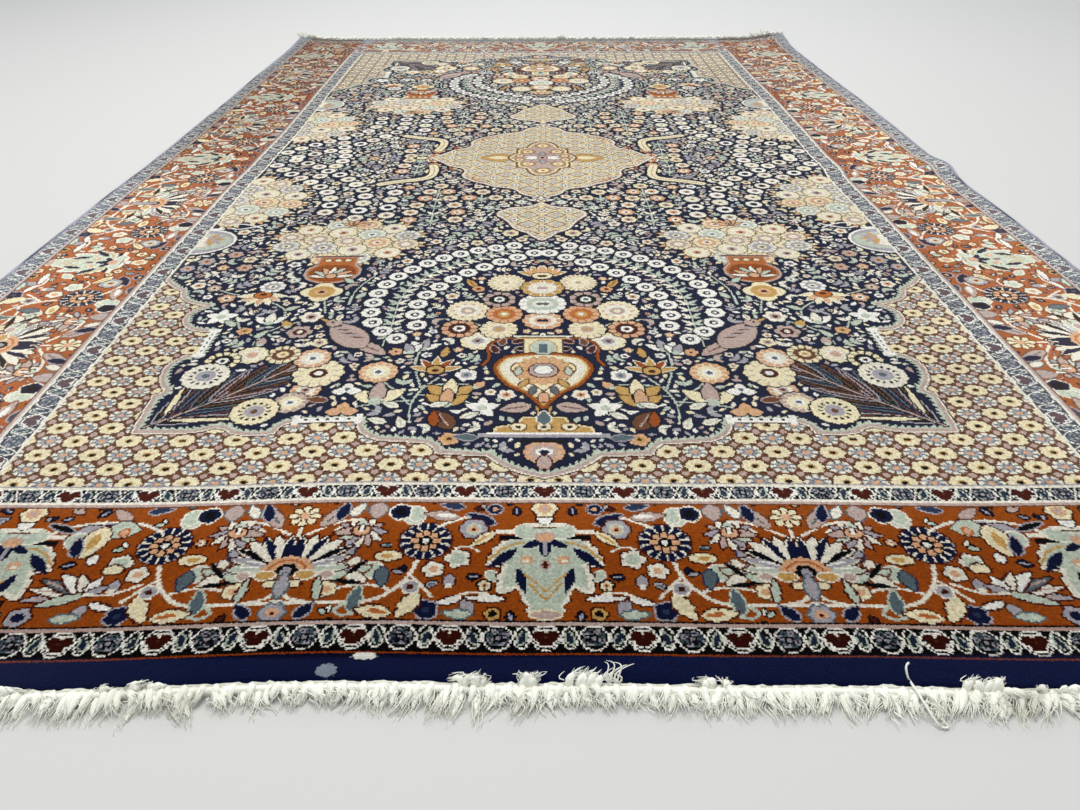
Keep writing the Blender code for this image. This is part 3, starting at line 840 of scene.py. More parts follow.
def border_bouquet(b):
    """Half of a second bunch, cut off by the inner guard, above half of a pale vase."""
    bouquet(b.at(476, 898), 96, 96, ((0.94, 16, 19), (0.5, 8, 22), (0.0, 1, 21)), PALE_HEADS[::-1])
    for wide, high, wool, edge in ((52, 44, WHITE, INK), (48, 40, LILAC, None),
                                   (46, 30, CELADON, None), (22, 20, IVORY, ROSE)):
        b.oval(478, 735, wide, high, wool, edge=edge)
    for k in range(5):
        b.leaf(466, 742, 22, 8, 90 + (k - 2) * 34, (GOLD, LILAC)[k % 2], edge=ROSE)
    b.box(470, 780, 14, 3.4, WHITE)
    for y, way in ((796, 1), (784, -1)):
        b.line(((448, y), (436, y + 5 * way), (424, y), (412, y - 6 * way), (402, y + 2 * way)),
               3.6, WHITE)
    for x, y, r, wool in ((444, 668, 12, LILAC), (412, 690, 11, ROSE), (388, 648, 11, ROSE),
                          (462, 646, 10, LILAC)):
        blossom(b.at(x, y), r, 6, wool, PEACH, BROWN)


def pale_net(chart, hit, off):
    """Pale ground of the medallion: a lozenge net with a floret in each mesh."""
    wide, high = 40.0, 36.0
    x, y = chart.mesh()
    chart.knots[hit] = CREAM
    for shift, wools in ((0.0, (GOLD, CREAM, CELADON, STEEL, WHITE)),
                         (0.5, (BROWN, ROSE, CREAM, LILAC, CELADON))):
        dx = ((x / wide + shift + 0.5) % 1.0 - 0.5) * wide
        dy = (((y - off) / high + shift + 0.5) % 1.0 - 0.5) * high
        mesh = np.abs(dx) / (0.5 * wide) + np.abs(dy) / (0.5 * high)
        radius, angle = np.hypot(dx, 0.8 * dy), np.arctan2(0.8 * dy, dx)
        rim = 7.0 + 1.6 * np.cos(6 * angle)
        for part, wool in zip((mesh < 0.90, mesh < 0.78, mesh < 0.62, radius < rim, radius < rim - 1.7,
                               radius < 2.6, mesh > 1.84), (*wools, PEACH, ORANGE)):
            chart.knots[hit & part] = wool


def medallion(chart, b):
    """Pale lobed medallion in the rug's middle with its pendant."""
    for table, floor, off in ((MEDALLION, PAST_Y, QUARTER_LONG), (PENDANT, 886, 812)):
        line = bent(table)
        hit = inside(chart, np.vstack(((PAST_X, table[0][1]), line, (table[-1][0], floor),
                                       (PAST_X, floor))))
        pale_net(chart, hit, off)
        far, run = off_line(chart, line)
        leafy = 3.0 + 3.0 * np.abs(((run / 9.0) % 1.0) * 2.0 - 1.0)
        chart.knots[hit & (far < leafy)] = IVORY
        chart.knots[hit & (np.abs(far - leafy) < 0.9)] = ROSE
        chart.knots[~hit & (far < 1.6)] = BROWN
    # hooks on the medallion's shoulders
    for way in (((150, 1036), (160, 1044), (160, 1058), (150, 1064)),
                ((96, 980), (108, 984), (116, 994), (110, 1004)), ((186, 1078), (198, 1088), (200, 1100))):
        b.line(way, 3.4, ORANGE)
    # the cross-shaped panel in the middle, with a gold drop at each side
    middle = b.at(0, QUARTER_LONG)
    middle.leaf(50, 0, 60, 42, -90, GOLD, edge=BROWN)
    middle.leaf(60, 0, 38, 20, -90, CREAM, edge=ORANGE)
    line = bent(PANEL)
    hit = inside(chart, np.vstack(((PAST_X, PANEL[0][1]), line, (60, PAST_Y), (PAST_X, PAST_Y))))
    far, run = off_line(chart, line)
    for part, wool in ((far < 2.6, BROWN), (hit, ROSE), (hit & (far < 6.4), GOLD),
                       (hit & (far < 5.0 + 1.8 * np.cos(run / 2.2)), CREAM), (hit & (far < 1.4), BROWN)):
        chart.knots[part] = wool
    for x, y, r in ((0, 1036, 13), (26, 1072, 12), (40, 1096, 8)):
        b.flower(x, y, r, 6, GOLD, (0.7, CREAM), (0.3, ORANGE), edge=BROWN)
    for turn, wool in ((0, LILAC), (40, ROSE), (80, WHITE)):
        middle.leaf(0, 0, 34, 12, 180 + turn, wool, edge=BROWN)
    middle.oval(0, 0, 8, 11, ROSE, edge=BROWN)
    middle.oval(0, 0, 3, 5, INK)
    fan(b.at(0, 896), 17, 5, (WHITE, LILAC), CREAM, 150)


def flower_tree(b, x, low, high, spread):
    """Upright stem with a round flower and a leaf in turn on either side, and one on top."""
    b.line(((x, low), (x + 2, 0.5 * (low + high)), (x, high)), 2.4, CELADON)
    for k, y in enumerate(np.arange(low + 24, high, 30.0)):
        for s in (-1, 1):
            out = spread * (0.7 + 0.3 * math.sin(0.9 * k + 1.0))
            b.line(((x, y - 15), (x + 0.6 * s * out, y - 7), (x + s * out, y)), 1.8, CELADON)
            b.leaf(x, y - 10, 17, 6.5, -s * 38, (CELADON, IVORY)[k % 2])
            outer, heart = ((CREAM, ROSE), (PEACH, IVORY), (IVORY, PEACH))[(k + (s > 0)) % 3]
            b.flower(x + s * out, y, 12.4, 7, outer, (0.5, heart), (0.2, MAROON), notch=0.2)
    b.flower(x, high, 12.4, 7, CREAM, (0.5, ROSE), (0.2, MAROON), notch=0.2)


# rows of pale ringlets between the bouquets and the medallion
PALE_ROWS = (((277, 822), (277, 850), (274, 900), (282, 942), (300, 968), (320, 996), (346, 1026),
              (376, 1052), (404, 1076), (436, 1098)),
             ((326, 846), (324, 880), (332, 914), (346, 946), (372, 975), (404, 1004), (440, 1040),
              (462, 1070)),
             ((232, 832), (236, 880), (232, 930)), ((372, 1012), (352, 1092)))


def far_field(b):
    """Flowering trees, pale ringlets and crescents beside the medallion."""
    for x, low, high, spread in ((162, 788, 958, 36), (92, 880, 930, 22), (214, 1010, 1110, 26),
                                 (44, 742, 760, 16)):
        flower_tree(b, x, low, high, spread)
    way = ((190, 1062), (184, 1036), (184, 1006), (200, 992), (232, 984), (262, 970))
    for width, wool in ((19, INK), (15, CREAM), (2.2, ROSE)):
        b.line(way, width, wool)
    for row in PALE_ROWS:
        for k, (x, y) in enumerate(spaced(row, 31.0)):
            outer, heart = (IVORY, WHITE)[k % 2], (ROSE, NAVY, CREAM)[k % 3]
            b.flower(x, y, 12.8, 8, outer, (0.44, heart), (0.2, INK), notch=0.1)


def scatter(chart, where, seed, tries, low, high, draw):
    """Draw something wherever a random round place of bare ground has room for it."""
    rng = np.random.default_rng(seed)
    rows, columns = np.nonzero(where & (chart.knots == NAVY))
    for n in rng.integers(len(rows), size=tries):
        r = rng.uniform(low, high)
        b = chart.brush(chart.x[columns[n]], chart.y[rows[n]], rng.uniform(0, 360))
        if b.free(r, NAVY):
            draw(b, r, rng)


def small_blossom(b, r, rng):
    """Five-petalled flower in one of six pairs of wools."""
    outer, heart = ((CREAM, ROSE), (WHITE, LILAC), (PEACH, CREAM), (IVORY, ROSE), (IVORY, PEACH),
                    (CELADON, WHITE))[rng.integers(6)]
    b.flower(0, 0, r - 2.4, 5, outer, (0.5, heart), (0.22, MAROON), edge=None, notch=0.26)


def twig(b, r, rng):
    """Stem with pairs of leaves and a small flower at its tip."""
    wool, leafy = ((WHITE, CELADON), (CREAM, IVORY), (PEACH, CELADON), (IVORY, LILAC),
                   (ROSE, IVORY))[rng.integers(5)]
    bend = rng.uniform(-0.35, 0.35) * r
    b.line(((0, -r), (bend, -0.2 * r), (0, 0.6 * r)), 1.7, leafy)
    for along, long in ((-0.85, 0.75), (-0.25, 0.8)):
        for turn in (-52, 52):
            b.leaf(0.6 * bend, along * r, long * r, 0.36 * r, turn, leafy)
    b.flower(0, 0.6 * r, 0.36 * r, 5, wool, (0.4, MAROON), edge=None, notch=0.26)


def leaf_pair(b, r, rng):
    """Two leaves that open from one short stalk."""
    wool = (CELADON, IVORY, ROSE, LILAC, IVORY, CREAM)[rng.integers(6)]
    for turn in (-42, 42):
        b.leaf(0, 1.5 - r, 1.6 * r, 0.72 * r, turn, wool)
    b.line(((0, 1.5 - r), (0, 0.1 * r)), 1.7, CELADON)


def small_leaf(b, r, rng):
    """A single leaf in one of six wools."""
    wool = (IVORY, CELADON, ROSE, LILAC, WHITE, CREAM)[rng.integers(6)]
    b.leaf(0, -0.95 * r, 1.9 * r, 0.95 * r, 0, wool)


def grow_between(chart, navy):
    """Small flowers and leaves over whatever navy is still bare, the largest first."""
    for seed, tries, low, high, draw in (
            (3, 1500, 13.0, 17.0, twig), (8, 1200, 10.8, 12.6, small_blossom),
            (9, 2200, 9.4, 11.5, twig), (4, 1800, 8.0, 9.4, leaf_pair),
            (5, 2600, 7.4, 8.6, small_blossom), (6, 6000, 5.0, 6.2, small_leaf),
            (7, 6000, 3.6, 4.4, small_leaf)):
        scatter(chart, navy, seed, tries, low, high, draw)


def field(chart):
    """The navy field with its lattice surround, vases, ringlets, birds and medallion."""
    x, y = chart.mesh()
    outline = ((PAST_X, 212), bent(NEAR_EDGE), (LATTICE_SIDE, PAST_Y), (PAST_X, PAST_Y))
    navy = inside(chart, np.vstack(outline))
    chart.knots[navy] = NAVY
    lattice(chart, ~navy & (x < LATTICE_SIDE) & (y > LATTICE_END))
    edge_band(chart, NEAR_EDGE, navy)
    b = chart.brush(0, 0)
    dotted_bar(b.at(207, 299), 60)
    dotted_bar(b.at(372, 452, 90), 56)
    surround = chart.knots[~navy]
    # leafy stem between the two rows of ringlets
    stem = spaced(MIDDLE_STEM, 17)
    b.line(stem, 2.0, CELADON)
    for (ax, ay), (sx, sy) in zip(stem, stem[1:]):
        out = math.degrees(math.atan2(sy - ay, sx - ax)) - 90.0
        for lean, long in ((-52, 17), (52, 17), (-100, 11), (100, 11)):
            b.leaf(sx, sy, long, 5.0, out + lean, (CELADON, IVORY)[lean > 0])
    far_field(b)
    medallion(chart, b)
    border_bouquet(b)
    palm_corner(b)
    chart.knots[~navy] = surround
    side_bouquet(b)
    upper_field(b)
    flowering_bush(b)
    bird(b)
    vase_and_bouquet(b)
    vase_body(chart, b)
    for row in (INNER_ROW, OUTER_ROW):
        for px, py in spaced(row, 25.5):
            ringlet(b.at(px, py), 12.0)
    grow_between(chart, navy)


# ---- the whole quarter

# the main border's middle lines: their distances from the rug's middle line and near pile edge
BORDER_MIDDLE = (582.5, 113.5)
# from one wide palmette to the next up the side
SIDE_REPEAT = 392.9


def border(chart):
    """Main border: wide palmettes and lotus fans in turn, round the end and up the side."""
    corner = chart.brush(*BORDER_MIDDLE)
    end = chart.brush(0, BORDER_MIDDLE[1])
    side = chart.brush(BORDER_MIDDLE[0], QUARTER_LONG, 90, 1.12, 1.24)
    places = [end, end.at(392, 0, 0, -1, 1), end.at(420, 0)]
    places += [side.at(-k * SIDE_REPEAT, 0, 0, way, 1)
               for k, way in ((0, -1), (1, 1), (1, -1), (2, 1), (2, -1))]
    for b in places:
        border_between(b)
    for b in (places[0], *places[2:]):
        beside_palmette(b)
    tulip_and_spray(places[1])
    for b in (end.at(196, 0), end.at(588, 0), side.at(-196.4, 0), side.at(-589.3, 0)):
        palmette_fan(b)
    for b in (end, places[2], *(side.at(-SIDE_REPEAT * k, -7, 0, 0.76, 0.84) for k in range(3))):
        palmette_wide(b)
    corner.box(0, 0, 76, 56, RUST)
    palmette_fan(corner.at(0, 0, 45, 1.05))
    x, y = chart.mesh()
    leafy = (("blossom", CREAM, PEACH), ("leaf", NAVY, LILAC), ("leaf", LILAC, STEEL),
             ("pair", ROSE, MAROON), ("pair", IVORY, CELADON), ("blossom", PEACH, IVORY),
             ("leaf", STEEL, IVORY), ("leaf", NAVY, LILAC))
    tiny = (("pair", IVORY, CELADON), ("leaf", MAROON, ROSE), ("pair", LILAC, NAVY),
            ("pair", NAVY, STEEL))
    up_the_side = x > 500
    everywhere = up_the_side | (y < 180)
    filler(chart, 11, 13.0, leafy, 6.5, 9.0, everywhere, 1.6, edge=INK)
    filler(chart, 12, 8.0, leafy + (("pair", NAVY, LILAC),), 4.0, 6.0, everywhere, 1.2, edge=INK)
    filler(chart, 13, 5.5, tiny, 2.8, 4.2, up_the_side, 1.0)


def band(chart, sides, ends, colour):
    """A frame of one colour between two distances from the middle lines and two from the end."""
    x, y = chart.mesh()
    (x0, x1), (y0, y1) = sides, ends
    chart.knots[(x < x1) & (y > y0) & ~((x < x0) & (y > y1))] = colour


def guard(chart, sides, ends):
    """A guard on its dark ground, with its flowers round the end and up the side."""
    band(chart, sides, ends, INK)
    (x0, x1), (y0, y1) = sides, ends
    x, y, half = 0.5 * (x0 + x1), 0.5 * (y0 + y1), GUARD_HALF
    for k in range(int(x0 / half) + 1):
        if k * half < x0 - 8:
            guard_repeat(chart.brush((k + k % 2) * half, y, 0, -1 if k % 2 else 1, 0.92))
    for k in range(int((QUARTER_LONG - y1) / half) + 1):
        start = QUARTER_LONG - k * half - half * (k % 2)
        guard_repeat(chart.brush(x, start, 90, 1 if k % 2 else -1, (x1 - x0) / 24.0))
    corner = chart.brush(x, y)
    corner.box(0, 0, 0.5 * (x1 - x0), 0.5 * (y1 - y0), INK)
    corner.flower(0, 0, 9.5, 8, IVORY, (0.75, SLATE), (0.3, IVORY), edge=None)


def whole_chart():
    """Draw one quarter of the rug and mirror it: rows run away from the near end."""
    chart = Chart(RUST)
    border(chart)
    for sides, ends, wool in (((QUARTER_WIDE, 700), (-9, 20.5), NAVY), ((684.5, 700), (20.5, 24), INK),
                              ((685.5, QUARTER_WIDE), (21.2, 22.8), RUST)):
        band(chart, sides, ends, wool)
    guard(chart, (661, 685), (24, 46.5))
    for sides, ends, wool in (((657, 661), (46.5, 49.5), ROSE), ((655.5, 657), (49.5, 51), INK),
                              ((508, 510), (176, 178), BROWN), ((505, 508), (178, 181), ROSE),
                              ((502, 505), (181, 183.5), IVORY)):
        band(chart, sides, ends, wool)
    guard(chart, (478, 502), (183.5, 200))
    band(chart, (474, 478), (200, 202.5), IVORY)
    band(chart, (472, 475), (202.5, 204), LILAC)
    field(chart)
    half = np.hstack((chart.knots[:, ::-1], chart.knots))
    return np.vstack((half, half[::-1]))


# ---- shader nodes

def maths(operation, swapped=False):
    """A method that adds one maths node, with its two values the other way round if swapped."""
    def act(self, *others):
        return self.shader.math(operation, *((*others, self) if swapped else (self, *others)))
    return act


class Sum:
    """A node socket that Python's operators act on."""

    def __init__(self, shader, socket):
        self.shader, self.socket = shader, socket

    __add__, __radd__ = maths("ADD"), maths("ADD", True)
    __sub__, __rsub__ = maths("SUBTRACT"), maths("SUBTRACT", True)
    __mul__, __rmul__ = maths("MULTIPLY"), maths("MULTIPLY", True)
    __truediv__, __rtruediv__ = maths("DIVIDE"), maths("DIVIDE", True)
    __mod__, __rmod__ = maths("FLOORED_MODULO"), maths("FLOORED_MODULO", True)
    __pow__, __rpow__ = maths("POWER"), maths("POWER", True)
    floor, fract, absolute = maths("FLOOR"), maths("FRACT"), maths("ABSOLUTE")
    least, most = maths("MINIMUM"), maths("MAXIMUM")

    def equals(self, other):
        """1 where both are the same whole number, and 0 elsewhere."""
        return self.shader.math("COMPARE", self, other, 0.4)

    def ease(self, low, high, start=0.0, end=1.0):
        """Smoothly from start to end while this goes from low to high."""
        return self.shader.add("ShaderNodeMapRange", {"interpolation_type": "SMOOTHSTEP", "clamp": True},
                               Value=self, From_Min=low, From_Max=high, To_Min=start, To_Max=end)


class Shader:
    """One material's node tree, built from expressions."""

    def __init__(self, name):
        self.material = bpy.data.materials.new(name)
        self.material.use_nodes = True
        self.tree = self.material.node_tree
        self.surface = self.tree.nodes["Principled BSDF"]

    def add(self, kind, settings=(), output=0, **sockets):
        """Any node, with its settings and with its inputs by name or as i0, i1."""
        node = self.tree.nodes.new(kind)
        for key, value in dict(settings).items():
            if key == "stops":
                ramp = node.color_ramp
                while len(ramp.elements) < len(value):
                    ramp.elements.new(1.0)
                for element, (place, colour) in zip(ramp.elements, value):
                    element.position, element.color = place, colour
            elif key == "interpolation":
                node.color_ramp.interpolation = value
            else:
                setattr(node, key, value)
        for key, value in sockets.items():
            name = key.replace("_", " ")
            socket = next((s for s in node.inputs if s.name == name and s.enabled), None)
            if socket is None:
                socket = node.inputs[int(key[1:])]
            self.feed(socket, value)
        return Sum(self, node.outputs[output])

    def feed(self, socket, value):
        """Link another node's output to an input, or set its value."""
        if isinstance(value, Sum):
            self.tree.links.new(value.socket, socket)
        else:
            socket.default_value = value

    def math(self, operation, *values):
        """One maths node of sockets and numbers."""
        node = self.tree.nodes.new("ShaderNodeMath")
        node.operation = operation
        for socket, value in zip(node.inputs, values):
            self.feed(socket, value)
        return Sum(self, node.outputs[0])

    def place(self):
        """Coordinates on the object itself, in metres."""
        return self.add("ShaderNodeTexCoord", output="Object")

    def parts(self, vector):
        """The three numbers of a vector."""
        node = self.add("ShaderNodeSeparateXYZ", Vector=vector)
        return [Sum(self, output) for output in node.socket.node.outputs]

    def grain(self, where, scale, detail=2.0, output="Fac"):
        """Soft noise, as its value or as three values at once."""
        return self.add("ShaderNodeTexNoise", output=output, Vector=where, Scale=scale, Detail=detail,
                        Roughness=0.5)

    def mix(self, share, first, second):
        """From the first colour to the second one by a share."""
        return self.add("ShaderNodeMix", {"data_type": "RGBA"}, 2, Factor=share, A=first, B=second)

    def stretched(self, where, scale):
        """Coordinates multiplied by one factor each way."""
        return self.add("ShaderNodeVectorMath", {"operation": "MULTIPLY"}, i0=where, i1=scale)

    def scaled(self, colour, by):
        """A colour made lighter or darker."""
        return self.add("ShaderNodeVectorMath", {"operation": "SCALE"}, i0=colour, Scale=by)

    def bump(self, height, distance):
        """Normal of a surface with a fine relief."""
        return self.add("ShaderNodeBump", Height=height, Distance=distance, Strength=1.0)

    def finish(self, colour, roughness, normal, **constants):
        """Connect the surface, and set what is the same all over it."""
        self.feed(self.surface.inputs["Base Color"], colour)
        self.feed(self.surface.inputs["Roughness"], roughness)
        self.feed(self.surface.inputs["Normal"], normal)
        for key, value in constants.items():
            self.surface.inputs[key.replace("_", " ")].default_value = value
        return self.material


# a rubbed spot and a scrap of cotton on the near band: (x, y, half width, half depth, colour)
SPOTS = ((-0.1455, -1.0985, 0.0070, 0.0056, 0x8E98A4), (-0.1225, -1.0868, 0.0085, 0.0032, 0xE8E6DC))


def pile_wool(settings):
    """Knots of dyed wool, read from the chart that the pile's faces carry."""
    s = Shader("pile wool")
    where = s.place()
    # each place finds its knot, a little astray, so that neighbouring colours fray together
    astray, inner = 2.0, 0.01
    u, v, _ = s.parts(s.add("ShaderNodeUVMap", {"uv_map": "cell"}))
    fray_u, fray_v, _ = s.parts(s.grain(where, 900.0, 1.0, output="Color"))
    u = (u * BLOCK + (fray_u - 0.5) * astray).most(inner).least(BLOCK - inner)
    v = (v * BLOCK + (fray_v - 0.5) * astray).most(inner).least(BLOCK - inner)
    column, row = u.floor(), v.floor()
    packed = 0.0
    for k in range(BLOCK):
        knots = s.add("ShaderNodeAttribute", {"attribute_name": "knots_%d" % k}, "Fac")
        packed = row.equals(k) * knots + packed
    wool = (packed / s.math("ROUND", WOOLS ** column)).floor() % WOOLS
    stops = [(k / WOOLS, (*getattr(settings, name), 1.0)) for k, (name, _, _) in enumerate(WOOL)]
    dye = s.add("ShaderNodeValToRGB", {"stops": stops, "interpolation": "CONSTANT"},
                Fac=(wool + 0.5) / WOOLS)

    # parts of the rug, from 0 outside them to 1 inside
    x, y, _ = s.parts(where)
    across, leftward = x.absolute(), 0.0 - x
    ahead = y.ease(-1.0, -0.80)
    end_band = y.ease(-1.0905, -1.0865, 1.0, 0.0)
    side_border = across.ease(0.502, 0.512) * across.ease(0.652, 0.660, 1.0, 0.0)
    side_guards = across.ease(0.470, 0.480) - side_border
    left = leftward.ease(0.40, 0.60) * y.ease(-0.25, 0.15)
    # where painted sheen lies: along the sides, less towards the far end, and over the far end; half as much
    # on the left
    side = (across.ease(0.42, 0.58) * y.ease(0.0, 0.9, 1.0, 0.25)).most(y.ease(0.55, 1.0) * 0.4)
    side = side * (1.0 - left * 0.5)
    dark = wool.equals(NAVY) + wool.equals(INK)

    # each knot took the dye a little differently, and long use has paled the tips
    knot = s.add("ShaderNodeTexWhiteNoise", {"noise_dimensions": "3D"},
                 Vector=s.add("ShaderNodeCombineXYZ", X=column, Y=row, Z=packed))
    abrash = s.grain(s.stretched(where, (0.25, 1.0, 1.0)), 7.0, 3.0)
    tips = s.grain(where, 420.0)
    tone = 1.0 + (knot - 0.5) * settings.knot_variation + (abrash - 0.5) * 0.36 + (tips - 0.5) * 0.8
    # painted sheen: the sides beyond the near border are lit up, rust and celadon most; the left side is a
    # fifth darker from its middle on
    brighter = 0.28 + wool.equals(RUST) * 0.40 + wool.equals(CELADON) * 0.16
    tone = tone * (1.0 + side * ahead * brighter) * (1.0 - left * 0.20)
    # painted shade darkens the near end, and the colour grows darker towards the far end
    tone = tone * y.ease(0.75, 1.05, 1.0, 0.88) * y.ease(-1.0, -0.935, 0.82, 1.03)
    # the navy end band is darker, most in its middle and least towards its ends
    middle = 0.55 - leftward.ease(0.2, 0.6) * 0.5 - x.ease(0.2, 0.65) * 0.5
    tone = tone * (1.0 - end_band * middle)
    # a gamma deepens the colours as painted shade over the near end, most over its outermost 45 mm but less
    # in the navy end band, and deepens the left side too
    deep = y.ease(-0.99, -0.94, 1.05, 1.0) + y.ease(-1.066, -1.060, 0.22, 0.0)
    deep = deep - end_band * 0.30 + left * 0.10
    dye = s.scaled(s.add("ShaderNodeGamma", Color=dye, Gamma=deep), tone)
    # painted sheen: a tenth of a pale blue lustre over the navy end band
    dye = s.mix(end_band * 0.10, dye, solid(0x2C3E8C))

    # painted sheen: the sides, the far end, the side guards, the outermost side band and a little of the
    # field are washed paler towards pale sheen colours, navy and ink in the side borders only half as much
    painted_sheen = (side * settings.sheen_wash * (1.0 - side_border * 0.26) + settings.field_sheen_wash) * ahead
    painted_sheen = painted_sheen + y.ease(1.080, 1.086) * 0.3 + y.ease(0.3, 0.9) * 0.05
    painted_sheen = painted_sheen + (side_guards * 0.09 + across.ease(0.678, 0.684) * 0.25) * ahead
    painted_sheen = painted_sheen + end_band * leftward.ease(0.2, 0.6) * 0.018
    sheen_colour = s.mix(side_border, solid(0xC8CCC6), solid(0xE0CCB4))
    sheen_colour = s.mix(side_guards, sheen_colour, solid(0xC2CAD6))
    dye = s.mix(painted_sheen * (1.0 - dark * side_border * 0.5), dye, sheen_colour)
    for cx, cy, half_wide, half_deep, code in SPOTS:
        off = ((x - cx) / half_wide) ** 2.0 + ((y - cy) / half_deep) ** 2.0 + (tips - 0.5) * 1.8
        dye = s.mix(off.ease(0.75, 1.15, 0.85, 0.0), dye, solid(code))

    # knots round off towards the gaps between them
    du, dv = (u.fract() - 0.5).absolute(), (v.fract() - 0.5).absolute()
    height = 1.0 - du.most(dv).ease(0.25, 0.5) * 0.6 + (tips - 0.5) * 1.6
    worn = s.grain(where, 30.0, 3.0)
    return s.finish(dye, 0.78 + worn * 0.2, s.bump(height, settings.knot_relief),
                    Sheen_Weight=settings.sheen, Sheen_Roughness=0.3, Sheen_Tint=solid(0xF0E2D6),
                    Specular_IOR_Level=0.0)


def overcast_wool(settings):
    """Twisted wool wrapped round the side cords."""
    s = Shader("overcast wool")
    where = s.place()
    ply = s.grain(s.stretched(where, (900.0, 2600.0, 900.0)), 1.0)
    patch = s.grain(where, 9.0, 3.0)
    # pale patches, partly real wear and partly painted sheen along the cord, cover it from 15 to 85 per cent
    worn = patch.ease(0.34, 0.58, 0.15, 0.85) + (ply - 0.5) * 0.3
    colour = s.mix(worn, (*settings.colour, 1.0), (*settings.worn_sheen_colour, 1.0))
    return s.finish(colour, 0.86, s.bump(ply, 0.0004), Sheen_Weight=0.35, Sheen_Roughness=0.5,
                    Specular_IOR_Level=0.25)


def fringe_cotton(settings):
    """Soft unspun cotton, a little greyer where it has been walked on."""
    s = Shader("fringe cotton")
    where = s.place()
    fibre = s.grain(s.stretched(where, (1500.0, 260.0, 700.0)), 1.0)
    soil = s.grain(where, 22.0, 3.0)
    colour = s.mix(soil.ease(0.45, 0.8) * 0.55, (*settings.colour, 1.0), (*settings.soil, 1.0))
    return s.finish(s.scaled(colour, 0.90 + fibre * 0.28), 0.9, s.bump(fibre, 0.0005),
                    Sheen_Weight=0.6, Sheen_Roughness=0.5, Specular_IOR_Level=0.25)


# ---- shapes

# how far the pile stops short of the side edges, where the cords lie beside it
PILE_INSET = 0.0069
# depth of the pile's slight waves, and its gap over the floor
WAVE, OFF_FLOOR = 0.0004, 0.0001


def smooth_table(table, at):
    """Value of a table of pairs at one place, eased between its entries."""
    if at <= table[0][0]:
        return table[0][1]
    for (a, va), (b, vb) in zip(table, table[1:]):
        if at <= b:
            t = (at - a) / (b - a)
            return va + (vb - va) * t * t * (3.0 - 2.0 * t)
    return table[-1][1]


def lift(x, y):
    """Height of the rug's underside above the floor."""
    total = 0.0
    for cx, cy, rx, ry, height in LIFTS:
        dx, dy = abs(x - cx) / rx, abs(y - cy) / ry
        if dx < 1.0 and dy < 1.0:
            total += height * (math.cos(0.5 * math.pi * dx) * math.cos(0.5 * math.pi * dy)) ** 2
    return total


def on_rug(column, row, inset):
    """Place for shares across and along the rug, a given distance inside its side edges."""
    y = row * LENGTH
    left, right = smooth_table(LEFT_SIDE, y) + inset, smooth_table(RIGHT_SIDE, y) - inset
    x = left + (right - left) * column
    near, far = smooth_table(NEAR_END, x), smooth_table(FAR_END, x)
    return x, near + (far - near) * row


def shown(work, name, material):
    """Make a finished mesh an object in the scene."""
    mesh = bpy.data.meshes.new(name)
    work.to_mesh(mesh)
    work.free()
    obj = bpy.data.objects.new(name, mesh)
    bpy.context.scene.collection.objects.link(obj)
    mesh.materials.append(material)
    for face in mesh.polygons:
        face.use_smooth = True
    return obj


def drawn(name, lines, closed):
    """A curve of straight runs: closed rings of (x, y), or open paths of (x, y, z, radius)."""
    curve = bpy.data.curves.new(name, "CURVE")
    curve.dimensions = "2D" if closed else "3D"
    for line in lines:
        spline = curve.splines.new("POLY")
        spline.points.add(len(line) - 1)
        spline.use_cyclic_u = closed
        for point, place in zip(spline.points, line):
            if closed:
                point.co = (*place, 0.0, 1.0)
            else:
                x, y, z, radius = place
                point.co, point.radius = (x + SHIFT[0], y + SHIFT[1], z, 1.0), radius
    obj = bpy.data.objects.new(name, curve)
    bpy.context.scene.collection.objects.link(obj)
    return obj


def polygon(sides):
    """Profile of a round tube."""
    return list(around(sides, 1.0))


def tubes(name, paths, ring):
    """Closed tubes with one profile along paths of (x, y, z, radius), as one mesh."""
    outline, path = drawn(name + "_ring", [ring], True), drawn(name, paths, False)
    path.data.twist_mode = "Z_UP"
    path.data.bevel_mode = "OBJECT"
    path.data.bevel_object = outline
    path.data.use_fill_caps = True
    graph = bpy.context.evaluated_depsgraph_get()
    mesh = bpy.data.meshes.new_from_object(path.evaluated_get(graph))
    work = bmesh.new()
    work.from_mesh(mesh)
    bpy.data.meshes.remove(mesh)
    for obj in (outline, path):
        bpy.data.objects.remove(obj, do_unlink=True)
    bmesh.ops.remove_doubles(work, verts=work.verts, dist=1e-7)
    bmesh.ops.recalc_face_normals(work, faces=work.faces)
    return work


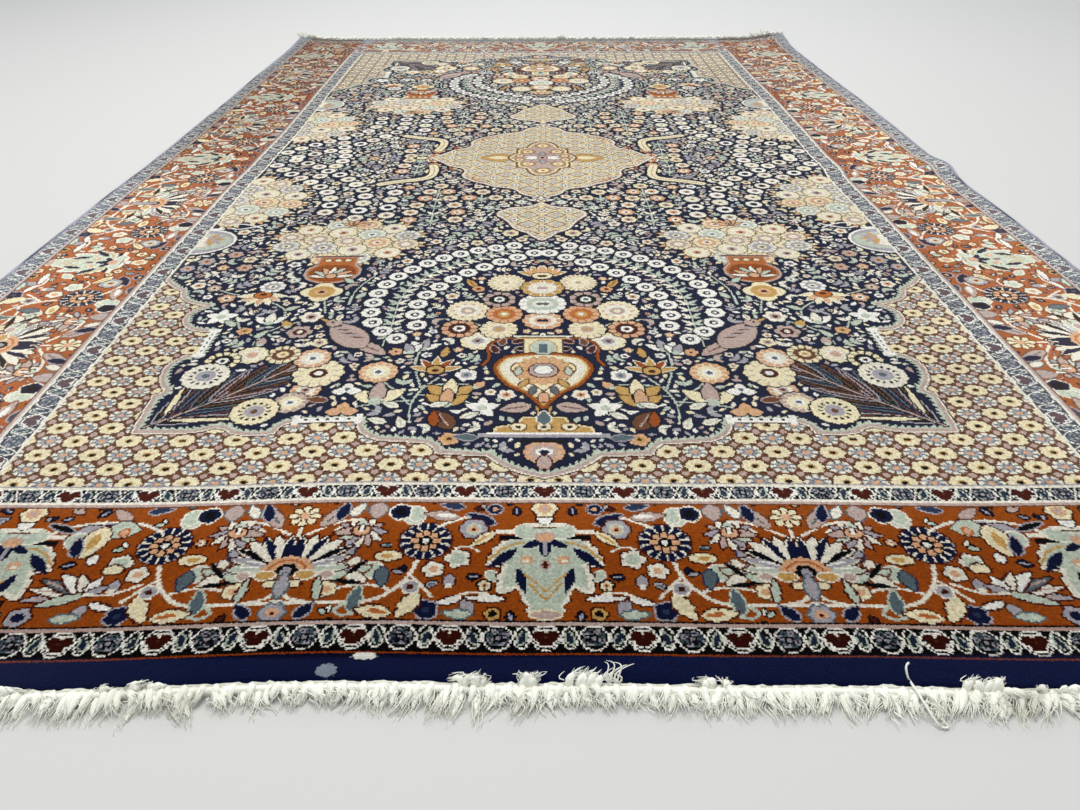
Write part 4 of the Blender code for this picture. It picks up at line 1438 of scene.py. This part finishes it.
def pile_slab(settings, columns, rows):
    """A thin closed slab with one face on top for each block of knots, numbered from 1."""
    work = bmesh.new()
    bmesh.ops.create_grid(work, x_segments=columns, y_segments=rows, size=0.5)
    block = work.faces.layers.int.new("block")
    local = work.loops.layers.uv.new("cell")
    spread = work.loops.layers.uv.new("OFBake")
    for face in work.faces:
        middle = face.calc_center_median()
        i, j = int((middle.x + 0.5) * columns), int((middle.y + 0.5) * rows)
        face[block] = 1 + i + j * columns
        for loop in face.loops:
            u, v = loop.vert.co.x + 0.5, loop.vert.co.y + 0.5
            loop[local].uv = (round(u * columns - i), round(v * rows - j))
            loop[spread].uv = (u, v)
    for vert in work.verts:
        x, y = on_rug(vert.co.x + 0.5, vert.co.y + 0.5, PILE_INSET)
        wave = WAVE * noise.noise((9.0 * x, 9.0 * y, 0.0))
        vert.co = (x + SHIFT[0], y + SHIFT[1], lift(x, y) + settings.thickness + wave - WAVE)
    made = bmesh.ops.extrude_face_region(work, geom=list(work.faces), use_keep_orig=True)["geom"]
    for vert in made:
        if isinstance(vert, bmesh.types.BMVert):
            vert.co.z = lift(vert.co.x - SHIFT[0], vert.co.y - SHIFT[1]) + OFF_FLOOR
    bmesh.ops.recalc_face_normals(work, faces=work.faces)
    work.normal_update()
    # the walls and the rounded shoulder over them show the foundation's navy, block 0
    rim = [edge for edge in work.edges if len(edge.link_faces) == 2 and edge.calc_face_angle() > 1.0
           and max(face.normal.z for face in edge.link_faces) > 0.5]
    for face in {face for edge in rim for face in edge.link_faces if abs(face.normal.z) < 0.5}:
        face[block] = 0
    made = bmesh.ops.bevel(work, geom=rim, affect="EDGES", offset=settings.shoulder, segments=2,
                           profile=0.5, material=-1, clamp_overlap=True)
    for face in made["faces"]:
        if abs(face.normal.z) < 0.98:
            face[block] = 0
    return work


def pile(settings):
    """Pile: the slab, whose faces each carry a block of the knot chart, packed row by row."""
    columns, rows = 2 * QUARTER_COLUMNS // BLOCK, 2 * QUARTER_ROWS // BLOCK
    obj = shown(pile_slab(settings, columns, rows), "pile", pile_wool(settings))
    mesh = obj.data
    chart = whole_chart().reshape(rows, BLOCK, columns, BLOCK).transpose(0, 2, 1, 3)
    packed = (chart * WOOLS ** np.arange(BLOCK)).sum(axis=3).reshape(rows * columns, BLOCK)
    packed = np.vstack((np.full((1, BLOCK), NAVY), packed)).astype(np.float32)
    blocks = np.zeros(len(mesh.polygons), np.int32)
    mesh.attributes["block"].data.foreach_get("value", blocks)
    for k in range(BLOCK):
        layer = mesh.attributes.new("knots_%d" % k, "FLOAT", "FACE")
        layer.data.foreach_set("value", np.ascontiguousarray(packed[blocks, k]))
    return obj


def side_cord(name, side, settings, material):
    """One side cord, with the turns of wool that are wrapped over it."""
    radius = 0.5 * settings.width
    turns = int(LENGTH / settings.pitch)
    rng = random.Random(4 if side < 0 else 8)
    path = []
    for k in range(turns):
        thick = rng.uniform(0.93, 1.04)
        for part, size in ((0.0, 0.84), (0.34, 1.0), (0.68, 1.0)):
            x, y = on_rug(0.0 if side < 0 else 1.0, (k + part) / turns, radius)
            path.append((x, y, lift(x, y) + radius * 1.03, radius * size * thick))
    work = tubes(name, [path], polygon(8))
    for vert in work.verts:
        edge = smooth_table(LEFT_SIDE if side < 0 else RIGHT_SIDE, vert.co.y - SHIFT[1])
        vert.co.y += settings.slant * (vert.co.x - SHIFT[0] - edge + side * radius) * side
    return shown(work, name, material)


# tufts that stand up from the rest: (x, width, how far out, how high, tip height, strands)
NEAR_TUFTS = ((-0.048, 0.018, -0.004, 0.0130, 0.0095, 44), (-0.012, 0.012, -0.005, 0.0140, 0.0100, 36),
              (0.024, 0.020, -0.005, 0.0140, 0.0100, 50), (0.110, 0.014, -0.003, 0.0115, 0.0088, 26),
              (0.283, 0.024, -0.004, 0.0140, 0.0100, 56), (0.300, 0.020, 0.008, 0.0120, 0.0060, 30),
              (-0.270, 0.050, -0.001, 0.0105, 0.0070, 44), (-0.360, 0.060, -0.001, 0.0105, 0.0070, 52),
              (0.330, 0.040, 0.002, 0.0105, 0.0060, 40), (0.560, 0.040, -0.002, 0.0110, 0.0075, 40),
              (-0.560, 0.040, -0.002, 0.0110, 0.0075, 40))
FAR_TUFTS = ((-0.678, 0.026, 0.004, 0.024, 0.016, 48), (-0.655, 0.020, 0.002, 0.020, 0.013, 30),
             (0.06, 0.030, -0.002, 0.020, 0.012, 40), (0.56, 0.050, 0.004, 0.016, 0.010, 40),
             (0.63, 0.050, 0.006, 0.020, 0.012, 50), (-0.40, 0.030, 0.0, 0.016, 0.010, 26),
             (0.25, 0.030, 0.0, 0.016, 0.010, 26), (-0.15, 0.030, 0.0, 0.017, 0.011, 26))
# one loose thread, in bent runs of (root, knee, tip): up over the band, then out and round
LOOSE_THREAD = (((0.236, 0.0, 0.007), (0.230, 0.003, 0.018), (0.238, 0.009, 0.0135)),
                ((0.236, 0.0, 0.007), (0.238, -0.022, 0.010), (0.246, -0.031, 0.0014)),
                ((0.246, -0.031, 0.0014), (0.254, -0.033, 0.0014), (0.248, -0.025, 0.0030)))
# a little over a full turn, for directions at random
ANY_TURN = 6.3


class Fringe:
    """One end's cotton: paths with radii for its locks and for the loose strands over them."""

    def __init__(self, end, settings):
        near = end < 0
        self.end, self.settings = end, settings
        self.table, self.tufts = (NEAR_END, NEAR_TUFTS) if near else (FAR_END, FAR_TUFTS)
        self.left = smooth_table(LEFT_SIDE, 0.0 if near else LENGTH)
        self.right = smooth_table(RIGHT_SIDE, 0.0 if near else LENGTH)
        self.high = settings.height if near else settings.far_height
        self.rng = random.Random(71 if near else 72)
        self.locks, self.strands = [], []

    def across(self, count):
        """Even places along the end: (x, y of the pile's edge, height off the floor)."""
        for k in range(count + 1):
            x = self.left + (self.right - self.left) * k / count
            y = smooth_table(self.table, x)
            yield x, y, lift(x, y)

    def strip(self, name):
        """The narrow woven strip along the pile's end."""
        half = 0.0030
        path = [(x, y + self.end * (0.0003 + half), z, 1.0) for x, y, z in self.across(160)]
        profile = ((-half, 0.0002), (half, 0.0002), (half, 0.0062), (-0.4 * half, 0.0050),
                   (-half, 0.0036))
        return tubes(name + "_strip", [path], [(-self.end * a, b) for a, b in profile])

    def roots(self, name):
        """Matted roots of uneven depth under the locks."""
        path = []
        for x, y, z in self.across(480):
            swell = sum(noise.noise((rate * x, self.end, seed)) for rate, seed in ((70.0, 3.0), (190.0, 5.0)))
            path.append((x, y + self.end * 0.0004, 0.8 * z, 1.0 + 0.35 * swell))
        profile = ((0.0, 0.0003), (0.0140, 0.0003), (0.0146, 0.0010), (0.0090, 0.0034), (0.0, 0.0054))
        return tubes(name + "_roots", [path], [(self.end * a, b) for a, b in profile])

    def strand(self, places, sway, thick, steps, wide=0.0):
        """A strand over its root, knee and tip, swaying with its lock and finer at its tip."""
        root, knee, tip = places
        size, phase = sway
        phase += self.rng.uniform(-0.5, 0.5)
        path = []
        for k in range(steps + 1):
            t = k / steps
            place = root * (1 - t) ** 2 + knee * (2 * t * (1 - t)) + tip * t * t
            off = size * (math.sin(phase + 4.2 * t) - math.sin(phase))
            taper = 1.0 - 0.7 * t ** (4.0 if wide else 1.6)
            radius = thick * (taper + wide * math.sin(math.pi * min(1.0, 1.3 * t + 0.1)))
            z = max(place.z + 0.3 * off, 0.9 * radius)
            path.append((place.x + off, place.y + 0.3 * off, z, radius))
        return path

    def lock(self, x, out, side, rise, base, tip_z, width, count, thick):
        """One lock, from its root at x to its tip out and to one side, and its loose strands."""
        rng, end = self.rng, self.end
        y = smooth_table(self.table, x) + end * 0.0016
        ground = lift(x, y)
        sway = (rng.uniform(0.0004, 0.0018), rng.uniform(0.0, ANY_TURN))
        root = Vector((x, y, ground + base))
        knee = Vector((x + 0.35 * side, y + end * 0.5 * out, 0.6 * ground + rise))
        tip = Vector((x + side, y + end * out, tip_z))
        core = (root, knee, root.lerp(tip, 0.78))
        self.locks.append(self.strand(core, sway, thick, steps=7, wide=0.3))
        for _ in range(count):
            turn, far = rng.uniform(0.0, ANY_TURN), rng.random() ** 0.6
            off = Vector((width * math.cos(turn), 0.0, width * 0.55 * math.sin(turn))) * far
            loose, reach = rng.uniform(0.6, 1.7), rng.uniform(0.70, 1.14)
            stray = Vector((rng.uniform(-1, 1), rng.uniform(-1, 1), 0)) * 0.0024
            stop = root.lerp(tip, reach) + off * loose + stray
            stop.z = max(0.0004, tip.z + off.z * loose)
            share = rng.choice((0.0, 0.25, 0.5))
            start = root.lerp(knee, share).lerp(knee.lerp(tip, share), share) + off
            start.z = max(start.z, 0.0006 + ground * (1.0 - share))
            between = (start + stop) * 0.5 + off * 0.5 + Vector((0.0, 0.0, 0.35 * (knee.z - tip.z)))
            finer = self.settings.thickness * rng.uniform(0.7, 1.15)
            places, more = (start, between, stop), (2.0 * sway[0], sway[1])
            self.strands.append(self.strand(places, more, finer, steps=4))

    def comb(self):
        """Three layers of locks along the whole end."""
        rng, clumps, span = self.rng, self.settings.clumps, self.right - self.left
        for layer, (share, shorter, tip_z) in enumerate(((0.45, 1.0, 0.0008), (0.8, 0.9, 0.0016),
                                                         (1.0, 0.72, 0.0026))):
            for c in range(clumps):
                place = c + 0.5 + 0.33 * (layer - 1) + rng.uniform(-0.25, 0.25)
                x = min(max(self.left + span * place / clumps, self.left + 0.003), self.right - 0.003)
                lean = 0.9 * noise.noise((6.0 * x, self.end, 1.0)) + rng.uniform(-0.24, 0.24)
                uneven = 1.0 + 0.3 * noise.noise((9.0 * x, self.end, 4.0))
                long = self.settings.length * rng.uniform(0.75, 1.15) * uneven * shorter
                rise = self.high * share * rng.uniform(0.85, 1.2)
                z = tip_z * rng.uniform(0.6, 1.4) * (1.0 if self.end < 0 else 2.2)
                self.lock(x, long, lean * long, rise, base=self.high * share * 0.72, tip_z=z,
                          width=0.0042, count=self.settings.strands, thick=0.0021)

    def raise_tufts(self):
        """Tufts that stand up where the rest lies down."""
        rng = self.rng
        for middle, width, out, rise, tip_z, count in self.tufts:
            lean = rng.uniform(-0.4, 0.4)
            for _ in range(max(2, count // 8)):
                x = middle + rng.uniform(-0.5, 0.5) * width
                ground = lift(x, smooth_table(self.table, x))
                self.lock(x, out * rng.uniform(0.6, 1.4), lean * abs(out) + rng.uniform(-0.35, 0.35) * width,
                          ground + rise * rng.uniform(0.75, 1.15), base=0.6 * self.high,
                          tip_z=ground + tip_z * rng.uniform(0.8, 1.1), width=0.0044, count=16,
                          thick=0.0022 if self.end < 0 else 0.0017)

    def loosen(self):
        """The loose looped thread, and a small bundle of thin threads near the middle."""
        rng, even = self.rng, 0.0009
        for run in LOOSE_THREAD:
            path = self.strand([Vector(place) for place in run], (0.0004, 1.0), even, steps=9)
            self.strands.append([(x, y, z, even) for x, y, z, _ in path])
        for _ in range(9):
            x, up = 0.044 + rng.uniform(-0.004, 0.004), rng.uniform(0.2, 1.0)
            knee = Vector((x + rng.uniform(-0.006, 0.006), 0.003, 0.010 + 0.010 * up))
            tip = Vector((x + rng.uniform(-0.008, 0.008), 0.005 + 0.006 * up, 0.010 + 0.004 * up))
            places, sway = (Vector((x, 0.0, 0.006)), knee, tip), (0.0030, rng.uniform(0.0, ANY_TURN))
            self.strands.append(self.strand(places, sway, thick=0.0008, steps=8))


def fringe(name, end, settings, material):
    """One end's fringe: its woven strip, matted roots, locks of cotton and loose strands."""
    cotton = Fringe(end, settings)
    cotton.comb()
    cotton.raise_tufts()
    if end < 0:
        cotton.loosen()
    work = tubes(name, cotton.strands, polygon(3))
    for part in (cotton.strip(name), cotton.roots(name), tubes(name + "_locks", cotton.locks, polygon(6))):
        mesh = bpy.data.meshes.new("part")
        part.to_mesh(mesh)
        part.free()
        work.from_mesh(mesh)
        bpy.data.meshes.remove(mesh)
    return shown(work, name, material)


# ---- settings, steps and panel

def colour(name, description, code):
    """A colour setting, from a six-digit code."""
    return bpy.props.FloatVectorProperty(name=name, description=description, subtype="COLOR",
                                         size=3, min=0.0, max=1.0, default=linear(code))


def length(name, description, default):
    """A length setting, in metres."""
    return bpy.props.FloatProperty(name=name, description=description, default=default,
                                   min=0.0, subtype="DISTANCE", unit="LENGTH", precision=5)


def number(name, description, default):
    """A plain number setting."""
    return bpy.props.FloatProperty(name=name, description=description, default=default, min=0.0)


def count(name, description, default):
    """A whole number setting."""
    return bpy.props.IntProperty(name=name, description=description, default=default, min=1)


def power(name, description, default):
    """A light's power setting, in watts."""
    return bpy.props.FloatProperty(name=name, description=description, default=default, min=0.0,
                                   subtype="POWER", unit="POWER")


class RugPileSettings(bpy.types.PropertyGroup):
    """Pile: its size, its wear, its painted sheen and its wools."""
    thickness: length("Thickness", "Height of the pile's top above the floor", 0.008)
    shoulder: length("Shoulder", "Rounding of the pile's upper edge", 0.0022)
    knot_relief: length("Knot relief", "Depth of the gaps between knots", 0.0008)
    knot_variation: number("Knot variation", "How much single knots differ in tone", 0.30)
    # these two set painted sheen: a pale wash along the sides and the far end, and over the field
    sheen_wash: number("Fading", "Share of washed-out wool along the sides and the far end", 0.15)
    field_sheen_wash: number("Field fading", "Share of washed-out wool over the field", 0.03)
    sheen: number("Sheen", "Strength of the washed lustre at low angles", 0.05)


for _name, _use, _code in WOOL:
    RugPileSettings.__annotations__[_name] = colour(_name.capitalize(), _use, _code)


class RugEdgeSettings(bpy.types.PropertyGroup):
    """Side cords."""
    width: length("Cord width", "Width of the overcast cord", 0.0066)
    pitch: length("Wrap pitch", "Distance from one turn of wool to the next", 0.0022)
    slant: number("Slant", "How far the turns slope across the cord", 0.35)
    # the pale patches on the cord are partly wear and partly painted sheen
    colour: colour("Wool", "Wrapping wool", 0x1C2444)
    worn_sheen_colour: colour("Worn wool", "Wrapping wool where it has paled", 0xB6B6C4)


class RugFringeSettings(bpy.types.PropertyGroup):
    """Both fringes."""
    clumps: count("Clumps", "Locks along one end, in each of three layers", 118)
    strands: count("Strands", "Loose strands over a lock", 13)
    length: length("Length", "Usual length of a lock", 0.0215)
    height: length("Height", "Height of the near fringe at its roots", 0.0066)
    far_height: length("Far height", "Height of the far fringe at its roots", 0.0140)
    thickness: length("Strand radius", "Radius of a strand at its root", 0.00050)
    colour: colour("Cotton", "Clean cotton", 0xFCFDF0)
    soil: colour("Soiled cotton", "Cotton where it has greyed", 0xCFC8B8)


class RugStageSettings(bpy.types.PropertyGroup):
    """Floor, lights and camera."""
    floor: colour("Floor", "Colour of the floor", 0xCFCFCC)
    over_power: power("Overhead light", "Power of the light over the rug", 80.0)
    far_power: power("Far light", "Power of the light beyond the far end", 55.0)
    world: number("Surroundings", "Brightness of the light from all round", 0.52)
    lens: bpy.props.FloatProperty(name="Lens", description="Focal length on a 36 mm sensor",
                                  default=27.55, min=1.0, subtype="DISTANCE_CAMERA", unit="CAMERA")
    camera_height: length("Camera height", "Camera above the floor", 0.457)


class RUG_OT_pile(bpy.types.Operator):
    """Weave the pile over the rug's body"""
    bl_idname = "rug.pile"
    bl_label = "Pile"

    def execute(self, context):
        obj = pile(context.scene.rug_pile)
        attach(obj, "root")
        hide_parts("rug_body")
        return {"FINISHED"}


class RUG_OT_side_cords(bpy.types.Operator):
    """Overcast both side edges"""
    bl_idname = "rug.side_cords"
    bl_label = "Side cords"

    def execute(self, context):
        material = overcast_wool(context.scene.rug_edge)
        for name, side, node in (("side_cord_left", -1, "selvedge_left"),
                                 ("side_cord_right", 1, "selvedge_right")):
            obj = side_cord(name, side, context.scene.rug_edge, material)
            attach(obj, "root")
            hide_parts(node)
        return {"FINISHED"}


class RUG_OT_fringes(bpy.types.Operator):
    """Comb out the fringe at both ends"""
    bl_idname = "rug.fringes"
    bl_label = "Fringes"

    def execute(self, context):
        material = fringe_cotton(context.scene.rug_fringe)
        for name, end, node in (("near_fringe", -1, "fringe_near"), ("far_fringe", 1, "fringe_far")):
            obj = fringe(name, end, context.scene.rug_fringe, material)
            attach(obj, "root")
            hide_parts(node)
        return {"FINISHED"}


# the camera: its place from the middle of the near pile end, and its angles in degrees
CAMERA_SIDE, CAMERA_BACK = -0.003, 0.347
CAMERA_DOWN, CAMERA_TURN, CAMERA_ROLL = 33.84, 0.1, math.degrees(-0.0058)


def turned(degrees, axis):
    """A turn about one axis."""
    return Matrix.Rotation(math.radians(degrees), 3, axis)


class RUG_OT_stage(bpy.types.Operator):
    """Set the floor, the lights and the camera"""
    bl_idname = "rug.stage"
    bl_label = "Stage"

    def floor(self, settings):
        """A plain floor, out of sight of its edges."""
        work = bmesh.new()
        bmesh.ops.create_grid(work, x_segments=1, y_segments=1, size=14.0)
        bmesh.ops.translate(work, verts=work.verts, vec=(0.0, 4.0, 0.0))
        s = Shader("floor")
        s.surface.inputs["Base Color"].default_value = (*settings.floor, 1.0)
        s.surface.inputs["Roughness"].default_value = 0.75
        shown(work, "floor", s.material)

    def lights(self, scene, settings):
        """Light from all round, a wide light overhead and one beyond the far end."""
        world = bpy.data.worlds.new("surroundings")
        world.use_nodes = True
        background = world.node_tree.nodes["Background"].inputs
        background["Color"].default_value = (0.92, 0.95, 1.0, 1.0)
        background["Strength"].default_value = settings.world
        scene.world = world
        for name, place, aim, size, watts, tint in (
                ("overhead light", (-0.3, 0.1, 3.0), (0.0, 0.1, 0.0), (2.6, 2.2),
                 settings.over_power, (1.0, 0.98, 0.95)),
                ("far light", (0.4, 4.2, 2.2), (0.0, 0.2, 0.0), (4.0, 1.8),
                 settings.far_power, (0.92, 0.96, 1.0))):
            light = bpy.data.lights.new(name, "AREA")
            light.shape = "RECTANGLE"
            light.size, light.size_y = size
            light.energy, light.color = watts, tint
            lamp = bpy.data.objects.new(name, light)
            scene.collection.objects.link(lamp)
            lamp.location = place
            lamp.rotation_euler = (Vector(aim) - Vector(place)).to_track_quat("-Z", "Y").to_euler()

    def camera(self, scene, settings):
        """The camera, low over the floor at the near end."""
        camera = bpy.data.cameras.new("camera")
        camera.lens, camera.sensor_width = settings.lens, 36.0
        camera.clip_start = 0.01
        holder = bpy.data.objects.new("camera", camera)
        scene.collection.objects.link(holder)
        holder.location = (SHIFT[0] + CAMERA_SIDE, SHIFT[1] - CAMERA_BACK, settings.camera_height)
        turn = turned(CAMERA_TURN, "Z") @ turned(90.0 - CAMERA_DOWN, "X") @ turned(CAMERA_ROLL, "Z")
        holder.rotation_euler = turn.to_euler()
        scene.camera = holder

    def execute(self, context):
        scene, settings = context.scene, context.scene.rug_stage
        self.floor(settings)
        self.lights(scene, settings)
        self.camera(scene, settings)
        scene.view_settings.view_transform = "Standard"
        return {"FINISHED"}


STEPS = (RUG_OT_pile, RUG_OT_side_cords, RUG_OT_fringes, RUG_OT_stage)
GROUPS = (("rug_pile", RugPileSettings), ("rug_edge", RugEdgeSettings),
          ("rug_fringe", RugFringeSettings), ("rug_stage", RugStageSettings))


class RUG_PT_panel(bpy.types.Panel):
    """The settings of each step, with its button under them."""
    bl_idname = "RUG_PT_panel"
    bl_label = "Persian rug"
    bl_space_type = "VIEW_3D"
    bl_region_type = "UI"
    bl_category = "Rug"

    def draw(self, context):
        for step, (name, group) in zip(STEPS, GROUPS):
            box = self.layout.box()
            for key in group.__annotations__:
                box.prop(getattr(context.scene, name), key)
            box.operator(step.bl_idname)


def register():
    """Add the settings, the steps and the panel."""
    for name, group in GROUPS:
        bpy.utils.register_class(group)
        setattr(bpy.types.Scene, name, bpy.props.PointerProperty(type=group))
    for kind in (*STEPS, RUG_PT_panel):
        bpy.utils.register_class(kind)


def unregister():
    """Take them out again, the last one first."""
    for kind in (RUG_PT_panel, *reversed(STEPS)):
        bpy.utils.unregister_class(kind)
    for name, group in reversed(GROUPS):
        delattr(bpy.types.Scene, name)
        bpy.utils.unregister_class(group)


def main():
    """Take every step in order."""
    register()
    bpy.ops.rug.stage()
    bpy.ops.rug.side_cords()
    bpy.ops.rug.fringes()
    bpy.ops.rug.pile()


if __name__ == "__main__":
    main()
